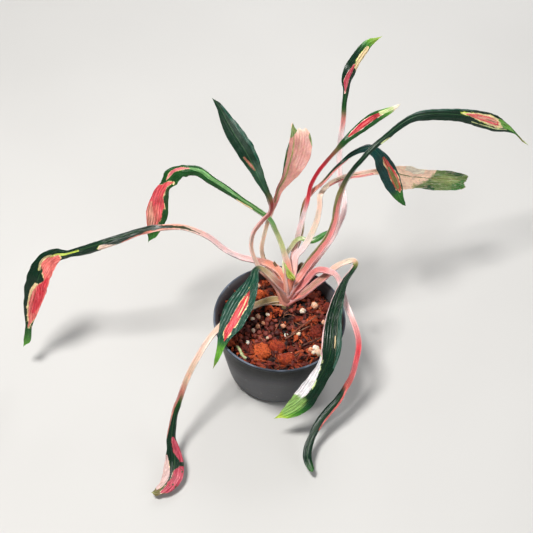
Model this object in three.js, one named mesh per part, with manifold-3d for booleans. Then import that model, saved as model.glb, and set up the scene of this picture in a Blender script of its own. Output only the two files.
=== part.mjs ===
// A potted aglaonema with long, thin, wandering leaves, in a round nursery pot of bark mix.
// Millimetres, +Z up. The origin is the centre of the pot's underside, +X is the side of the
// longest leaf and +Y is the side that the stem leans to.
import * as THREE from 'three';
import { mergeVertices } from 'three/addons/utils/BufferGeometryUtils.js';
import Module from 'manifold-3d';

const wasm = await Module();
wasm.setup();

// Driving sizes of the pot
const RIM_RADIUS = 65;
const POT_HEIGHT = 84;
const FOOT_RADIUS = 43;
const WALL = 1.6;
const FLOOR = 2.4;
const LIP_HEIGHT = 3.6;
const LIP_OVERHANG = 1.5;
const FOOT_BULGE = 5.5;
const WALL_CURVE = 0.85;
const WALL_HEIGHTS = [12, 30, 50, 70];
const POT_SEGMENTS = 48;
const DRAIN_COUNT = 6;
const DRAIN_RADIUS = 4;
const DRAIN_CIRCLE = 30;
const DRAIN_SEGMENTS = 14;

// The pot's small curves, as radius and height from the foot, the lip's underside and the rim
const FOOT_CURVE = [[0, 0], [3.6, 1.4], [5.6, 4.6]];
const FOOT_INSIDE = [[0.5, 0], [4, 2.8]];
const LIP_CURVE = [[-0.4, 0.8], [0, 1.6]];
const RIM_CURVE = [[0, -0.5], [-0.5, 0], [-1.6, 0], [-2.2, -0.6]];

// Driving sizes of the mix
const SEAT_GAP = 0.3;
const SOIL_LEVEL = 70;
const SOIL_DOME = 2;
const SOIL_RINGS = [0.82, 0.62, 0.4, 0.2, 0];
const TALLEST_CHUNK = 19;
const SMALL_CHUNKS = 40;
const SMALL_SIZE = 5.5;
const SMALL_REACH = 53;
const STEM_CLEARANCE = 14;
const LOW_LEAF_STRIP = 9;

// The stem's two ends, and its radius at heights above its foot, swollen at each old leaf's ring
const STEM_FOOT = new THREE.Vector3(2, 22, 50);
const STEM_TOP = new THREE.Vector3(10, 35, 100);
const STEM_SEGMENTS = 16;
const STEM_RADII = [
  [5.5, 0], [6.4, 5], [6.4, 20], [7.2, 24], [7, 29], [7.8, 33], [7.6, 38], [8, 42], [7.6, 46], [6, 51],
];
const STEM_TIP_RADIUS = 4;
const STEM_TIP_DOME = 1.5;

// Driving sizes of a leaf's section. A stalk is a half-round channel, bent more where it is wide,
// and a blade is a thin skin with a rib at its back.
const ROOT_WIDTH = 5.5;
const STALK_DEPTH = 3;
const STALK_EDGE = 0.25;
const STALK_BEND = 0.45;
const WIDE_STALK = 6;
const WIDE_STALK_BEND = 0.14;
const BLADE_FACE = 0.4;
const BLADE_BACK = 0.5;
const MIDRIB_DEPTH = 1;
const MIDRIB_REACH = 1.3;
const LEAST_WIDTH = 1.2;
const RIPPLE_SHARE = 0.05;
const RIPPLE_RATE = 2.3;
const RIPPLE_SLANT = 1.3;
const SECTION_STEPS = 4;
const BLADE_STEPS = 2;

// The leaves. A stalk point is x, y, z and width. A blade point is x, y, z and width, then the
// bend of the section from midrib to edge in radians (below zero where the edges turn away from
// the upper face), then the way the upper face looks as x, y, z. The root height says where on
// the stem the stalk starts, and the channel is the way that the stalk's hollow side looks.
// A torn leaf ends in a ragged edge: tear says how far each part of it stands out.
const LEAVES = [
  {
    name: 'leaf_far_left',
    root: 89,
    colour: 0x2a5a48,
    channel: [0.3, -0.3, 1],
    stalk: [
      [0, 46, 95, 7.5], [-11, 53, 99, 8], [-26, 53, 105, 6.5], [-41, 50, 113, 6],
      [-56, 47, 127, 5.5], [-70, 47, 143, 5.5], [-84, 44, 156, 5.5], [-98, 41, 164, 5.5],
      [-117, 37, 166, 6],
    ],
    blade: [
      [-136, 36, 162, 11, -1.6, 0, -0.4, 1], [-155, 32, 156, 16, -2, 0, -0.4, 1],
      [-174, 28, 150, 18, -2, 0, -0.4, 1], [-191, 26, 143, 16, -1.8, 0, -0.5, 1],
      [-206, 24, 138, 10, -1.3, -0.2, -0.6, 0.8], [-219, 26, 132, 16, -0.7, -0.5, -0.7, 0.6],
      [-229, 24, 122, 23, 0.3, -0.4, -0.8, 0.5], [-237, 15, 107, 25, 0.4, -0.2, -0.9, 0.4],
      [-242, 9, 89, 21, 0.4, 0, -0.9, 0.4], [-247, 4, 71, 14, 0.5, 0.1, -0.9, 0.4],
      [-251, -1, 54, 7, 0.6, 0, -0.9, 0.4], [-254, -6, 40, 7, 0.5, -0.2, -0.9, 0.4],
      [-259, -10, 29, 2, 0.3, -0.2, -0.9, 0.4],
    ],
  },
  {
    name: 'leaf_left_arch',
    root: 100,
    colour: 0x3f7a45,
    channel: [0.4, -0.6, 0.8],
    stalk: [
      [7, 44, 108, 6.5], [4, 50, 115, 7], [-1, 57, 128, 6.5], [-7, 62, 141, 6],
      [-13, 66, 152, 6], [-25, 69, 161, 6.5],
    ],
    blade: [
      [-39, 72, 170, 8, -1, 0.3, -0.7, 0.8], [-54, 75, 181, 11, -1.4, 0.3, -0.7, 0.8],
      [-69, 77, 192, 12, -1.4, 0.3, -0.6, 0.8], [-82, 80, 200, 12, -1.2, 0.1, -0.6, 0.8],
      [-94, 79, 203, 11, -0.9, 0, -0.4, 1], [-105, 79, 198, 13, -0.7, -0.2, -0.4, 0.9],
      [-113, 76, 188, 13, 0.4, -0.3, -0.7, 0.5], [-119, 74, 175, 18, 0.4, -0.1, -0.9, 0.3],
      [-122, 71, 160, 20, 0.4, 0.1, -0.9, 0.3], [-124, 66, 146, 19, 0.5, 0.2, -0.9, 0.3],
      [-128, 62, 131, 12, 0.5, 0.2, -0.9, 0.3], [-133, 59, 119, 2, 0.3, 0.2, -0.9, 0.3],
    ],
  },
  {
    name: 'leaf_upper_left',
    root: 79,
    colour: 0x1f4a3e,
    channel: [0.6, -0.3, 0.6],
    stalk: [
      [-1, 32, 88, 7], [-11, 37, 97, 6], [-20, 39, 107, 5.5], [-26, 44, 117, 5],
      [-30, 49, 130, 5], [-28, 53, 146, 5], [-20, 55, 161, 5], [-13, 56, 172, 5],
      [-12, 58, 181, 5.5],
    ],
    blade: [
      [-15, 61, 188, 7, 1.5, 0.5, -0.6, 0.5], [-20, 64, 197, 9, 1.3, 0.5, -0.7, 0.5],
      [-25, 69, 205, 12, 0.9, 0.4, -0.7, 0.6], [-31, 79, 212, 15, 0.6, 0.3, -0.7, 0.7],
      [-39, 89, 221, 18, 0.5, 0.3, -0.7, 0.7], [-49, 101, 229, 18, 0.5, 0.3, -0.7, 0.7],
      [-58, 114, 236, 12, 0.5, 0.2, -0.7, 0.7], [-65, 124, 243, 6, 0.5, 0.2, -0.7, 0.7],
      [-72, 130, 248, 2, 0.3, 0.2, -0.7, 0.7],
    ],
  },
  {
    name: 'leaf_torn_back',
    root: 86,
    colour: 0xd9aaa0,
    channel: [0.4, -0.6, 0.4],
    stalk: [
      [-3, 48, 88, 6], [-12, 56, 91, 6], [-18, 63, 97, 5.5], [-20, 65, 111, 5],
      [-18, 68, 126, 5], [-15, 72, 141, 5], [-11, 76, 156, 5],
    ],
    blade: [
      [-8, 79, 167, 6, 1.1, 0.2, -0.8, 0.5], [-5, 82, 178, 8, 1, 0.1, -0.8, 0.5],
      [2, 87, 189, 13, 0.8, 0, -0.8, 0.5], [7, 93, 198, 20, 0.5, 0, -0.7, 0.6],
      [11, 102, 204, 24, 0.4, 0, -0.7, 0.6], [13, 112, 209, 23, 0.4, 0.1, -0.7, 0.6],
      [13, 121, 213, 19, 0.4, 0.1, -0.7, 0.6], [12, 128, 215, 13, 0.4, 0.1, -0.7, 0.6],
    ],
    tear: [7, -1, 1, -2, 0],
  },
  {
    name: 'leaf_front_left',
    root: 84,
    colour: 0x3d7a66,
    channel: [0.4, -0.4, 0.8],
    stalk: [
      [1, 30, 94, 7], [-7, 31, 103, 6.5], [-14, 33, 111, 6], [-21, 32, 118, 5.5],
    ],
    blade: [
      [-25, 26, 121, 7, 0.9, 0, -0.3, 1], [-27, 16, 118, 12, 0.8, 0, -0.3, 1],
      [-32, 4, 113, 20, 0.5, 0.1, -0.4, 1], [-39, -8, 108, 25, 0.4, 0.1, -0.4, 1],
      [-45, -20, 102, 24, 0.3, 0.1, -0.4, 1], [-51, -32, 96, 15, 0.3, 0.1, -0.4, 1],
      [-55, -42, 89, 8, 0.5, 0, -0.5, 0.8], [-58, -50, 82, 5, 0.5, 0, -0.6, 0.7],
      [-62, -57, 72, 2, 0.3, 0, -0.6, 0.7],
    ],
  },
  {
    name: 'leaf_low_left',
    root: 74,
    colour: 0x5a6f5a,
    channel: [0.1, -0.2, 1],
    stalk: [
      [-7, 25, 78, 7], [-20, 18, 80, 6.5], [-31, 8, 84, 6], [-43, -4, 88, 6],
      [-53, -16, 92, 5.5], [-62, -29, 93, 5.5], [-71, -42, 88, 5.5], [-80, -57, 79, 5.5],
      [-87, -69, 68, 5.5], [-92, -81, 57, 5.5],
    ],
    blade: [
      [-96, -91, 48, 8, -1.1, 0.2, -0.4, 1], [-98, -101, 39, 9, -1.2, 0.2, -0.4, 1],
      [-99, -110, 30, 12, -1, 0.1, -0.3, 1], [-96, -119, 23, 16, -0.5, 0, -0.3, 1],
      [-95, -128, 17, 19, -0.3, -0.1, -0.2, 1], [-96, -139, 13, 20, -0.4, -0.1, -0.2, 1],
      [-101, -148, 10, 17, -0.5, -0.2, -0.2, 1], [-109, -155, 8, 9, -0.4, -0.2, -0.2, 1],
      [-115, -156, 7, 2, -0.2, -0.2, -0.2, 1],
    ],
  },
  {
    name: 'leaf_tall_back',
    root: 85,
    colour: 0x3c6650,
    channel: [-0.4, -0.6, 0.8],
    stalk: [
      [15, 41, 86, 5], [24, 52, 89, 6.5], [33, 59, 99, 6.5], [42, 65, 112, 6], [50, 71, 125, 6],
      [55, 76, 138, 6], [59, 81, 150, 5.5], [59, 89, 161, 5.5], [56, 100, 168, 5.5],
      [53, 109, 180, 5], [52, 116, 195, 5], [52, 121, 212, 5], [53, 125, 230, 4.5],
    ],
    blade: [
      [53, 132, 244, 5.5, -1, 0, -0.8, 0.5], [54, 139, 255, 7, -1.1, 0, -0.8, 0.5],
      [54, 145, 263, 11, -0.9, 0.1, -0.8, 0.5], [57, 151, 270, 13, -0.6, 0.2, -0.8, 0.5],
      [62, 161, 274, 12, -0.5, 0.3, -0.7, 0.6], [69, 173, 277, 11, -0.5, 0.3, -0.6, 0.6],
      [75, 183, 278, 8, -0.5, 0.3, -0.5, 0.8], [88, 195, 277, 2, -0.2, 0.2, -0.4, 0.9],
    ],
  },
  {
    name: 'leaf_long_right',
    root: 92,
    colour: 0x24543f,
    channel: [-0.5, -0.6, 0.7],
    stalk: [
      [16, 37, 95, 6.5], [22, 45, 99, 7.5], [29, 52, 108, 8], [38, 57, 122, 7.5], [46, 62, 137, 7],
      [50, 68, 151, 6.5], [51, 73, 166, 6.5], [53, 76, 182, 6], [57, 78, 197, 5.5],
      [63, 81, 209, 5.5],
    ],
    blade: [
      [70, 84, 219, 7, -1.1, -0.2, -0.6, 0.8], [79, 91, 228, 8, -1.3, -0.2, -0.5, 0.8],
      [91, 99, 235, 9, -1.3, -0.2, -0.5, 0.8], [104, 111, 239, 9, -1.2, -0.2, -0.5, 0.8],
      [117, 121, 241, 9, -1, -0.2, -0.5, 0.8], [132, 128, 240, 12, -0.8, 0, -0.5, 0.9],
      [151, 137, 233, 13, -0.7, 0, -0.5, 0.9], [171, 145, 225, 14, -0.6, 0.1, -0.6, 0.8],
      [190, 154, 214, 17, -0.5, 0.1, -0.6, 0.8], [208, 162, 202, 17, -0.4, 0.1, -0.6, 0.8],
      [223, 167, 191, 9, -0.4, 0.1, -0.6, 0.8], [233, 168, 183, 4, -0.3, 0.1, -0.6, 0.8],
      [242, 169, 173, 3.5, -0.3, 0.1, -0.6, 0.8], [249, 168, 168, 2, -0.2, 0.1, -0.6, 0.8],
    ],
  },
  {
    name: 'leaf_red_stalk',
    root: 94,
    colour: 0x3a6a45,
    channel: [-0.2, -0.6, 0.8],
    stalk: [
      [12, 58, 98, 6], [13, 68, 105, 6], [15, 75, 112, 5.5], [17, 79, 125, 5.5],
      [20, 83, 142, 5], [23, 85, 160, 5], [25, 88, 178, 5], [31, 91, 194, 5],
      [39, 93, 208, 5], [47, 95, 220, 5],
    ],
    blade: [
      [54, 96, 231, 7, -0.8, -0.1, -0.7, 0.7], [63, 103, 236, 9, -0.6, -0.1, -0.7, 0.7],
      [73, 111, 240, 11, -0.5, 0, -0.7, 0.7], [83, 118, 243, 11, -0.5, 0, -0.7, 0.7],
      [94, 124, 245, 7, -0.5, 0, -0.7, 0.7], [101, 129, 246, 4, -0.4, 0, -0.7, 0.7],
      [106, 134, 246, 2, -0.2, 0, -0.7, 0.7],
    ],
  },
  {
    name: 'leaf_torn_right',
    root: 97.5,
    colour: 0xc4b596,
    channel: [-0.3, -0.6, 0.8],
    stalk: [
      [13.5, 47, 101.5, 5.5], [14, 57, 109, 6.5], [21, 61, 117, 6], [28, 67, 130, 6],
      [33, 73, 146, 5.5], [35, 80, 158, 5], [35, 87, 166, 5], [41, 95, 171, 4.5],
      [50, 97, 178, 5], [61, 97, 184, 5.5], [74, 98, 187, 6],
    ],
    blade: [
      [88, 103, 186, 6, 0.9, -0.1, -0.8, 0.6], [102, 115, 176, 12, 0.6, 0, -0.8, 0.5],
      [117, 118, 166, 25, 0.4, 0, -0.8, 0.5], [134, 124, 158, 20, 0.3, 0.1, -0.8, 0.5],
      [151, 129, 152, 21, 0.3, 0.1, -0.8, 0.5], [169, 134, 147, 20, 0.3, 0.1, -0.8, 0.5],
      [179, 136, 144, 16, 0.3, 0.1, -0.8, 0.5], [185, 136, 142, 10, 0.3, 0.1, -0.8, 0.5],
    ],
    tear: [0, 1, -1, 2, -1],
  },
  {
    name: 'leaf_dark_right',
    root: 89.5,
    colour: 0x1f4f4a,
    channel: [-0.2, -0.6, 0.8],
    stalk: [
      [13, 62, 92, 6], [14, 74, 99, 5.5], [17, 81, 106, 5.5], [19, 86, 118, 5.5],
      [19, 89, 135, 5], [21, 90, 153, 5], [27, 90, 168, 5], [36, 87, 184, 4.5],
      [45, 91, 196, 5],
    ],
    blade: [
      [52, 92, 206, 6, -1, -0.3, -0.6, 0.6], [62, 100, 211, 7, -1.1, -0.1, -0.5, 0.9],
      [73, 105, 214, 9, -1.2, 0, -0.4, 1], [81, 107, 213, 12, -1, 0.2, -0.4, 0.9],
      [89, 103, 208, 14, -0.7, 0.3, -0.6, 0.7], [96, 99, 197, 18, -0.5, 0.3, -0.8, 0.5],
      [103, 95, 185, 19, -0.4, 0.3, -0.8, 0.5], [109, 92, 173, 15, -0.4, 0.3, -0.8, 0.4],
      [114, 90, 163, 8, -0.4, 0.3, -0.8, 0.4], [120, 88, 155, 2, -0.2, 0.3, -0.8, 0.4],
    ],
  },
  {
    name: 'leaf_front_right',
    root: 75,
    colour: 0x2f5f52,
    channel: [-0.4, -0.3, 0.9],
    stalk: [
      [19, 28, 80, 6.5], [27, 31, 87, 7.5], [36, 35, 95, 7.5], [44, 38, 102, 7],
      [51, 42, 109, 6], [58, 44, 115, 5.5], [66, 44, 120, 5.5], [71, 42, 123, 5],
    ],
    blade: [
      [72, 36, 124, 5.5, 0.8, -0.2, -0.3, 1], [68, 28, 122, 6, 0.8, 0, -0.4, 1],
      [63, 21, 118, 8, 0.8, 0.1, -0.4, 1], [58, 10, 113, 11, 0.7, 0.1, -0.4, 1],
      [54, -3, 108, 14, 0.7, 0.1, -0.4, 1], [51, -18, 103, 17, 0.7, 0.1, -0.4, 1],
      [50, -33, 98, 20, 0.6, 0.1, -0.4, 1], [49, -46, 91, 19, 0.6, 0, -0.5, 1],
      [46, -54, 81, 18, 0.6, 0, -0.6, 0.8], [40, -61, 69, 20, 0.5, -0.1, -0.7, 0.6],
      [33, -68, 57, 23, 0.4, -0.2, -0.8, 0.5], [24, -75, 46, 22, 0.4, -0.2, -0.8, 0.4],
      [13, -79, 36, 14, 0.4, -0.3, -0.8, 0.4], [-2, -83, 28, 2, 0.3, -0.3, -0.8, 0.4],
    ],
  },
  {
    name: 'leaf_low_right',
    root: 80,
    colour: 0x2c5a4a,
    channel: [-0.2, -0.3, 1],
    stalk: [
      [15, 32, 84.5, 5.5], [23, 37, 90, 6], [31, 41, 102, 6.5], [38, 39, 111, 6.2], [47, 34, 115, 6],
      [54, 31, 113, 5.5], [59, 26, 106, 5.5], [62, 16, 101, 5.5], [66, 5, 96, 5.5],
      [71, -7, 92, 5.5], [76, -18, 85, 5.5], [78, -27, 75, 5.5], [76, -37, 63, 5.5],
      [73, -46, 53, 5.5],
    ],
    blade: [
      [67, -56, 46, 7, -1, 0.1, -0.4, 1], [60, -66, 39, 9, -1, 0.1, -0.4, 1],
      [51, -75, 33, 10, -1, 0.1, -0.4, 1], [42, -86, 27, 9, -0.9, 0.1, -0.4, 1],
      [36, -97, 22, 8, -0.8, 0.1, -0.4, 1], [32, -109, 18, 9, -0.6, 0, -0.4, 1],
      [32, -119, 14, 8, -0.5, 0, -0.4, 1], [37, -130, 11, 2, -0.2, 0, -0.4, 1],
    ],
  },
  {
    name: 'leaf_small',
    root: 97.5,
    rootWidth: 3,
    colour: 0x7fae7c,
    channel: [0.1, -0.6, 0.8],
    stalk: [
      [3.5, 44, 100.5, 3.6], [3.5, 56, 101, 4.5], [5, 64, 104, 4.5], [9, 68, 109, 4.5], [14, 71, 117, 4.5],
      [20, 72, 119, 4.5],
    ],
    blade: [
      [25, 70, 118, 5, -0.9, 0, -0.4, 1], [32, 74, 115, 6.5, -0.8, 0, -0.4, 1],
      [40, 82, 113, 6.5, -0.7, 0, -0.4, 1], [52, 96, 110, 2, -0.3, 0, -0.4, 1],
    ],
  },
  {
    name: 'new_shoot',
    root: 98,
    rootWidth: 5,
    colour: 0xb7cb55,
    channel: [-0.2, -1, 0.3],
    stalk: [
      [13, 31, 105, 5],
    ],
    blade: [
      [9, 33, 110, 6, 1.9, -0.2, -1, 0.3], [5, 36, 115, 5, 2, -0.2, -1, 0.3],
      [2, 39, 121, 2, 1.5, -0.2, -1, 0.3],
    ],
  },
];

// Chunks that stand out of the mix: kind, x, y, long, wide and high sizes, turn in degrees
const LARGE_CHUNKS = [
  ['rock', -16, -36, 17, 16, 11, 20],
  ['rock', -1, -30, 15, 12, 9, -30],
  ['rock', 8, -43, 15, 11, 9, 10],
  ['rock', 37, -10, 12, 14, 9, 60],
  ['rock', 34, 4, 9, 8, 7, 15],
  ['rock', -20, 34, 10, 9, 8, 40],
  ['rock', 48, 20, 9, 10, 8, 0],
  ['bark', 43, 44, 6, 15, 6, 12],
  ['bark', 33, 35, 14, 8, 5, -20],
  ['bark', 28, 1, 22, 6, 5, 40],
  ['bark', -35, -30, 14, 9, 6, -35],
  ['bark', -45, -22, 9, 12, 5, 20],
  ['bark', -14, -50, 18, 7, 5, -12],
  ['bark', 24, -47, 16, 7, 5, 25],
  ['bark', -36, 38, 13, 8, 5, 30],
  ['bark', 26, -25, 14, 8, 5, -50],
];

// A repeatable sequence of fractions from 0 to 1
function fractions(seed) {
  let state = seed;
  return () => {
    state = (state * 1664525 + 1013904223) % 4294967296;
    return state / 4294967296;
  };
}

// A closed geometry as a solid
function solidFrom(geometry) {
  const bare = geometry.clone();
  bare.deleteAttribute('normal');
  bare.deleteAttribute('uv');
  const merged = mergeVertices(bare, 1e-4);
  const corners = merged.index.array;
  const kept = [];
  for (let i = 0; i < corners.length; i += 3) {
    const [a, b, c] = [corners[i], corners[i + 1], corners[i + 2]];
    if (a !== b && b !== c && a !== c) {
      kept.push(a, b, c);
    }
  }
  return new wasm.Manifold(new wasm.Mesh({
    numProp: 3,
    vertProperties: new Float32Array(merged.attributes.position.array),
    triVerts: new Uint32Array(kept),
  }));
}

// A solid as a geometry for a mesh
function geometryFrom(solid) {
  const mesh = solid.getMesh();
  const geometry = new THREE.BufferGeometry();
  geometry.setAttribute('position', new THREE.BufferAttribute(new Float32Array(mesh.vertProperties), 3));
  geometry.setIndex(new THREE.BufferAttribute(new Uint32Array(mesh.triVerts), 1));
  geometry.computeVertexNormals();
  return geometry;
}

// A profile of radius and height, turned round the upright axis
function turned(profile, segments) {
  const points = profile.map(([radius, height]) => new THREE.Vector2(radius, height));
  return new THREE.LatheGeometry(points, segments).rotateX(Math.PI / 2);
}

// Catmull-Rom curve through rows of numbers, at a place counted in rows
function rowAt(rows, place) {
  const last = rows.length - 1;
  const i = Math.min(Math.floor(place), last - 1);
  const f = place - i;
  const here = rows[i];
  const next = rows[i + 1];
  const before = i > 0 ? rows[i - 1] : here.map((value, k) => 2 * value - next[k]);
  const after = i + 2 <= last ? rows[i + 2] : next.map((value, k) => 2 * value - here[k]);
  return here.map((value, k) => {
    const slope = next[k] - before[k];
    const square = 2 * before[k] - 5 * value + 4 * next[k] - after[k];
    const cube = 3 * value - before[k] - 3 * next[k] + after[k];
    return 0.5 * (2 * value + slope * f + square * f * f + cube * f ** 3);
  });
}

// The stem's centre line at a height
function stemPoint(height) {
  const share = (height - STEM_FOOT.z) / (STEM_TOP.z - STEM_FOOT.z);
  return STEM_FOOT.clone().lerp(STEM_TOP, share);
}

// All of a leaf's rows in one form: x, y, z, width, bend, face x, face y, face z
function leafRows(leaf) {
  const start = stemPoint(leaf.root);
  const stalk = [[start.x, start.y, start.z, leaf.rootWidth ?? ROOT_WIDTH], ...leaf.stalk];
  const channel = new THREE.Vector3(...leaf.channel).normalize();
  const bladeFace = new THREE.Vector3(...leaf.blade[0].slice(5)).normalize();
  const rows = stalk.map(([x, y, z, width], i) => {
    const face = channel.clone().lerp(bladeFace, i / stalk.length);
    const bend = STALK_BEND + WIDE_STALK_BEND * Math.max(0, width - WIDE_STALK);
    return [x, y, z, width, bend, ...face.toArray()];
  });
  for (const [x, y, z, width, bend, ...look] of leaf.blade) {
    const face = new THREE.Vector3(...look).normalize();
    rows.push([x, y, z, width, bend, ...face.toArray()]);
  }
  return { rows, bladeStart: stalk.length };
}

// The closed section of a leaf: its upper face from edge to edge, then its back
function leafRing({ rows, bladeStart }, place) {
  const [x, y, z, givenWidth, givenBend, faceX, faceY, faceZ] = rowAt(rows, place);
  const last = rows.length - 1;
  const small = 0.001;
  const ahead = new THREE.Vector3(...rowAt(rows, Math.min(place + small, last)));
  const behind = new THREE.Vector3(...rowAt(rows, Math.max(place - small, 0)));
  const along = ahead.sub(behind).normalize();
  const face = new THREE.Vector3(faceX, faceY, faceZ);
  face.addScaledVector(along, -face.dot(along)).normalize();
  const side = new THREE.Vector3().crossVectors(along, face);
  const centre = new THREE.Vector3(x, y, z);
  const half = Math.max(givenWidth, LEAST_WIDTH) / 2;
  const bladeShare = THREE.MathUtils.smoothstep(place, bladeStart - 1, bladeStart + 1);
  const bend = Math.abs(givenBend) < small ? small : givenBend;
  const radius = half / bend;
  const ripple = bladeShare * RIPPLE_SHARE * half;
  const stalkDepth = Math.min(half, STALK_DEPTH);

  const pointAt = (share, offset) => {
    const turn = bend * share;
    const wave = ripple * share * share * Math.sin(RIPPLE_RATE * place + RIPPLE_SLANT * share);
    const across = (radius - offset) * Math.sin(turn);
    const up = radius * (1 - Math.cos(turn)) + offset * Math.cos(turn) + wave;
    return centre.clone().addScaledVector(side, across).addScaledVector(face, up);
  };
  const frontOffset = THREE.MathUtils.lerp(STALK_EDGE, BLADE_FACE, bladeShare);
  const backOffset = (share) => {
    const round = Math.sqrt(Math.max(0, 1 - share * share));
    const stalkBack = BLADE_BACK + (stalkDepth - BLADE_BACK) * round;
    const rib = Math.exp(-((share * half / MIDRIB_REACH) ** 2));
    return THREE.MathUtils.lerp(stalkBack, BLADE_BACK + MIDRIB_DEPTH * rib, bladeShare);
  };

  const shares = Array.from({ length: SECTION_STEPS + 1 }, (_, i) => (2 * i) / SECTION_STEPS - 1);
  const front = shares.map((share) => pointAt(share, frontOffset));
  const back = shares.map((share) => pointAt(share, -backOffset(share)));
  return { front, back, along };
}

// A closed solid through a leaf's sections. Both faces are split into triangles alike.
function skin(rings) {
  const width = SECTION_STEPS + 1;
  const positions = [];
  for (const { front, back } of rings) {
    for (const point of [...front, ...back]) {
      positions.push(point.x, point.y, point.z);
    }
  }
  const frontAt = (i, j) => i * 2 * width + j;
  const backAt = (i, j) => i * 2 * width + width + j;
  const corners = [];
  for (let i = 0; i + 1 < rings.length; i += 1) {
    for (let j = 0; j < SECTION_STEPS; j += 1) {
      corners.push(frontAt(i, j), frontAt(i, j + 1), frontAt(i + 1, j + 1));
      corners.push(frontAt(i, j), frontAt(i + 1, j + 1), frontAt(i + 1, j));
      corners.push(backAt(i, j), backAt(i + 1, j + 1), backAt(i, j + 1));
      corners.push(backAt(i, j), backAt(i + 1, j), backAt(i + 1, j + 1));
    }
    corners.push(frontAt(i, 0), frontAt(i + 1, 0), backAt(i + 1, 0));
    corners.push(frontAt(i, 0), backAt(i + 1, 0), backAt(i, 0));
    corners.push(frontAt(i, width - 1), backAt(i + 1, width - 1), frontAt(i + 1, width - 1));
    corners.push(frontAt(i, width - 1), backAt(i, width - 1), backAt(i + 1, width - 1));
  }
  const end = rings.length - 1;
  for (let j = 0; j < SECTION_STEPS; j += 1) {
    corners.push(frontAt(0, j), backAt(0, j), backAt(0, j + 1));
    corners.push(frontAt(0, j), backAt(0, j + 1), frontAt(0, j + 1));
    corners.push(frontAt(end, j), backAt(end, j + 1), backAt(end, j));
    corners.push(frontAt(end, j), frontAt(end, j + 1), backAt(end, j + 1));
  }
  const geometry = new THREE.BufferGeometry();
  geometry.setAttribute('position', new THREE.Float32BufferAttribute(positions, 3));
  geometry.setIndex(corners);
  return solidFrom(geometry);
}

// A leaf from its stalk's root on the stem to its tip, cut where it meets the stem
function leafSolid(leaf, stemSeat) {
  const shape = leafRows(leaf);
  const last = shape.rows.length - 1;
  const rings = [];
  for (let i = 0; i < last; i += 1) {
    const steps = i < shape.bladeStart ? 1 : BLADE_STEPS;
    for (let k = 0; k < steps; k += 1) {
      rings.push(leafRing(shape, i + k / steps));
    }
  }
  const tip = leafRing(shape, last);
  if (leaf.tear) {
    leaf.tear.forEach((reach, j) => {
      tip.front[j].addScaledVector(tip.along, reach);
      tip.back[j].addScaledVector(tip.along, reach);
    });
  }
  rings.push(tip);
  return skin(rings).subtract(stemSeat);
}

// Outer radius of the pot wall at a height
function potRadius(height) {
  const bottom = FOOT_RADIUS + FOOT_BULGE;
  const top = RIM_RADIUS - LIP_OVERHANG;
  return bottom + (top - bottom) * (height / POT_HEIGHT) ** WALL_CURVE;
}

// A curve's points moved to start from a radius and height
function curveFrom(curve, startRadius, startHeight) {
  return curve.map(([radius, height]) => [startRadius + radius, startHeight + height]);
}

// The pot's inside from the axis to just under the lip, moved inward by a gap
function insideProfile(gap) {
  const foot = curveFrom(FOOT_INSIDE, FOOT_RADIUS - gap, FLOOR + gap);
  const sides = WALL_HEIGHTS.map((height) => [potRadius(height) - WALL - gap, height]);
  return [[0, FLOOR + gap], ...foot, ...sides];
}

// A thin pot with a rounded foot, a lip rolled outward and drain holes in its floor
function potSolid() {
  const lipStart = POT_HEIGHT - LIP_HEIGHT;
  const profile = [
    [0, 0],
    ...curveFrom(FOOT_CURVE, FOOT_RADIUS, 0),
    ...WALL_HEIGHTS.map((height) => [potRadius(height), height]),
    [potRadius(lipStart), lipStart],
    ...curveFrom(LIP_CURVE, RIM_RADIUS, lipStart),
    ...curveFrom(RIM_CURVE, RIM_RADIUS, POT_HEIGHT),
    ...insideProfile(0).reverse(),
  ];
  let pot = solidFrom(turned(profile, POT_SEGMENTS));
  for (let i = 0; i < DRAIN_COUNT; i += 1) {
    const angle = (i * 2 * Math.PI) / DRAIN_COUNT;
    const drill = new THREE.CylinderGeometry(DRAIN_RADIUS, DRAIN_RADIUS, 4 * FLOOR, DRAIN_SEGMENTS);
    drill.rotateX(Math.PI / 2);
    drill.translate(DRAIN_CIRCLE * Math.cos(angle), DRAIN_CIRCLE * Math.sin(angle), 0);
    pot = pot.subtract(solidFrom(drill));
  }
  return pot;
}

// Height of the mix's surface
function soilHeight(x, y) {
  const dome = SOIL_DOME * (1 - (x * x + y * y) / RIM_RADIUS ** 2);
  const lumps = 0.9 * Math.sin(0.23 * x + 1) * Math.cos(0.19 * y) + 0.6 * Math.sin(0.4 * x + 0.37 * y);
  return SOIL_LEVEL + dome + lumps;
}

// A rough piece half sunk in the mix: bark is a slab, and the rest are round lumps
function chunk([kind, x, y, long, wide, high, turn], next) {
  const shape = kind === 'bark'
    ? new THREE.BoxGeometry(1, 1, 1)
    : new THREE.IcosahedronGeometry(0.55, 0);
  const rough = mergeVertices(shape.deleteAttribute('normal').deleteAttribute('uv'), 1e-4);
  const points = rough.attributes.position;
  for (let i = 0; i < points.count; i += 1) {
    const grow = THREE.MathUtils.lerp(0.85, 1.15, next());
    points.setXYZ(i, points.getX(i) * grow, points.getY(i) * grow, points.getZ(i) * grow);
  }
  rough.scale(long, wide, high);
  rough.rotateX(THREE.MathUtils.lerp(-0.15, 0.15, next()));
  rough.rotateZ(THREE.MathUtils.degToRad(turn));
  rough.translate(x, y, soilHeight(x, y));
  return solidFrom(rough);
}

// The leaf nearest the mix passes over this strip, where only low pieces lie
function underLowLeaf(x, y) {
  const low = LEAVES.find((leaf) => leaf.name === 'leaf_low_left');
  return low.stalk.some(([px, py]) => Math.hypot(x - px, y - py) < LOW_LEAF_STRIP);
}

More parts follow.
